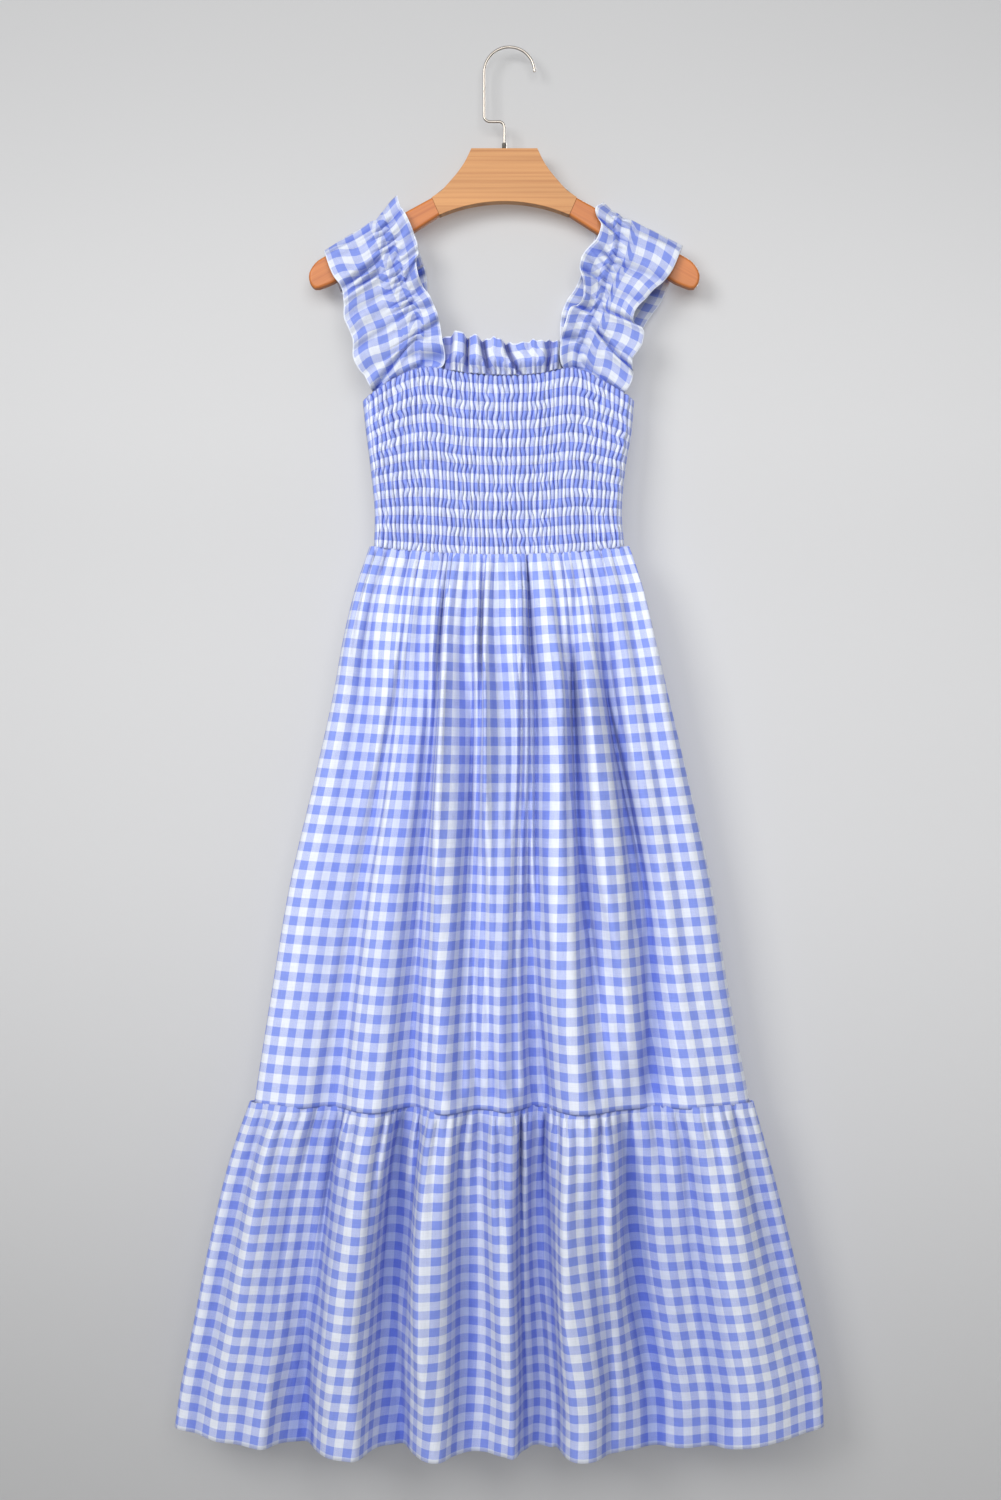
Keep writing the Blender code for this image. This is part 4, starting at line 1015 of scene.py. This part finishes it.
def stage_paint(name, colour):
    """A dull, faintly mottled surface, as its nodes and the paint's output."""
    n = Nodes(name)
    paint = n.mix(n.noise(n.place(), 3.0), colour, tuple(c * 0.985 for c in colour[:3]) + (1,))
    n.fill(n.shader, Base_Color=paint, Roughness=0.9, Specular_IOR_Level=0.1)
    return n, paint


def wall_material():
    """Painted light: darker above and below and a little to the left, with a faint glow that lightens its
    shadows. It can be seen through from its back.
    """
    n, paint = stage_paint("wall_paint", WALL_PAINT)
    place = n.split(n.add("ShaderNodeNewGeometry").outputs["Position"])
    # Painted light: the colour dims towards the top and the bottom.
    painted_falloff = n.add("ShaderNodeValToRGB")
    n.put(n.math("MULTIPLY_ADD", place[2], 0.5, 0.8), painted_falloff.inputs[0])
    ramp = painted_falloff.color_ramp
    ramp.interpolation = "B_SPLINE"
    ramp.elements[0].position, ramp.elements[0].color = WALL_FOOT
    ramp.elements[1].position, ramp.elements[1].color = WALL_HEAD
    for position, level in WALL_LEVELS:
        ramp.elements.new(position).color = (level, level, level, 1)
    paint = n.mix(1.0, paint, painted_falloff.outputs[0], "MULTIPLY")
    # Painted light: a little darker to the left.
    paint = n.mix(1.0, paint, n.math("MULTIPLY_ADD", place[0], 0.06, 0.99), "MULTIPLY")
    # Painted light: the wall glows in its own colour.
    n.fill(n.shader, Base_Color=paint, Emission_Color=paint, Emission_Strength=WALL_GLOW)
    choose = n.add("ShaderNodeMixShader")
    n.put(n.add("ShaderNodeNewGeometry").outputs["Backfacing"], choose.inputs[0])
    n.put(n.shader.outputs[0], choose.inputs[1])
    n.put(n.add("ShaderNodeBsdfTransparent").outputs[0], choose.inputs[2])
    n.put(choose.outputs[0], n.tree.nodes["Material Output"].inputs[0])
    return n.material


def floor():
    bpy.ops.mesh.primitive_plane_add(size=1, location=(0, -1.0, FLOOR_Z))
    piece = bpy.context.object
    piece.name = "floor"
    piece.scale = (FLOOR_SIZE, FLOOR_SIZE, 1)
    piece.data.materials.append(stage_paint("floor_paint", FLOOR_PAINT)[0].material)


def backdrop():
    heights = np.linspace(WALL_HEIGHTS[0], WALL_HEIGHTS[-1], WALL_ROWS)
    depths = glide(heights, WALL_HEIGHTS, WALL_DEPTHS)
    points = [(side, y, z) for y, z in zip(depths, heights) for side in (-WALL_HALF_WIDTH, WALL_HALF_WIDTH)]
    faces = [(2 * i, 2 * i + 1, 2 * i + 3, 2 * i + 2) for i in range(WALL_ROWS - 1)]
    mesh = bpy.data.meshes.new("wall")
    mesh.from_pydata(points, [], faces)
    mesh.shade_smooth()
    mesh.materials.append(wall_material())
    wall = linked("wall", mesh)
    wall.visible_shadow = False
    wall.visible_diffuse = False
    wall.visible_glossy = False


def light(lamp):
    data = bpy.data.lights.new(lamp.name, "AREA")
    data.spread = radians(lamp.spread)
    data.shape = "RECTANGLE"
    data.size = data.size_y = lamp.size
    data.energy = lamp.power
    shown = linked(lamp.name, data)
    shown.location = lamp.place
    direction = Vector(lamp.target) - Vector(lamp.place)
    shown.rotation_euler = direction.to_track_quat("-Z", "Y").to_euler()


def stage():
    backdrop()
    floor()
    world = bpy.data.worlds.new("soft_room")
    world.use_nodes = True
    background = world.node_tree.nodes["Background"]
    background.inputs[0].default_value = ROOM_COLOUR
    background.inputs[1].default_value = ROOM_LIGHT
    bpy.context.scene.world = world
    for lamp in LAMPS:
        light(lamp)
    camera = linked("camera", bpy.data.cameras.new("camera"))
    camera.location = CAMERA_PLACE
    camera.rotation_euler = (radians(90), 0, 0)
    camera.data.lens = CAMERA_LENS
    camera.data.sensor_width = SENSOR
    bpy.context.scene.camera = camera
    bpy.context.scene.view_settings.view_transform = "Standard"


def main():
    # Each cloth gets its own painted shade: how far its creases darken, and a level that dims the whole
    # piece, lowest on the straps and then the hem tier.
    upper = gingham("gingham_upper", (0.004, 0.0), (UPPER_LENGTH - 0.0004,), shade=0.52, painted_light_level=0.98)
    lower = gingham("gingham_hem", (0.0, 0.003), shade=0.62, painted_light_level=0.92)
    bodice = gingham("gingham_bodice", (0.002, 0.0), (0.0004,), shade=0.72, shade_colour=SHIRRED_SHADE_COLOUR)
    edges = (-OUTER_SHARE * STRAP_WIDTH, (1 - OUTER_SHARE) * STRAP_WIDTH)
    ruffle = gingham("gingham_ruffle", hems=[(0, edge) for edge in edges], shade=0.75, painted_light_level=0.82)
    frilled = gingham("gingham_frill", hems=[(1, 0.0)], shade=0.62, shade_colour=SHIRRED_SHADE_COLOUR, painted_light_level=0.94)
    for panel in GATHERED:
        gathered_panel(panel, upper if below_waist(panel) else lower)
    bodice_panel("bodice_front", -1, 420, 116, 21, bodice)
    bodice_panel("bodice_back", 1, 320, 84, 22, bodice)
    left_back = (LEFT_BACK_OUTER, LEFT_BACK_LINE, LEFT_BACK_INNER)
    right_back = (RIGHT_BACK_OUTER, RIGHT_BACK_LINE, RIGHT_BACK_INNER)
    strap("strap_left", (LEFT_OUTER, LEFT_LINE, LEFT_INNER), left_back, LEFT_CREASES, 31, ruffle)
    strap("strap_right", (RIGHT_OUTER, RIGHT_LINE, RIGHT_INNER), right_back, RIGHT_CREASES, 32, ruffle)
    frill("neck_frill_front", -1, FRONT_PLEATS, 190, 26, 41, frilled)
    frill("neck_frill_back", 1, BACK_PLEATS, 120, 18, 42, frilled)
    hanger_wood()
    hanger_hook(nickel("nickel"))
    stage()


main()
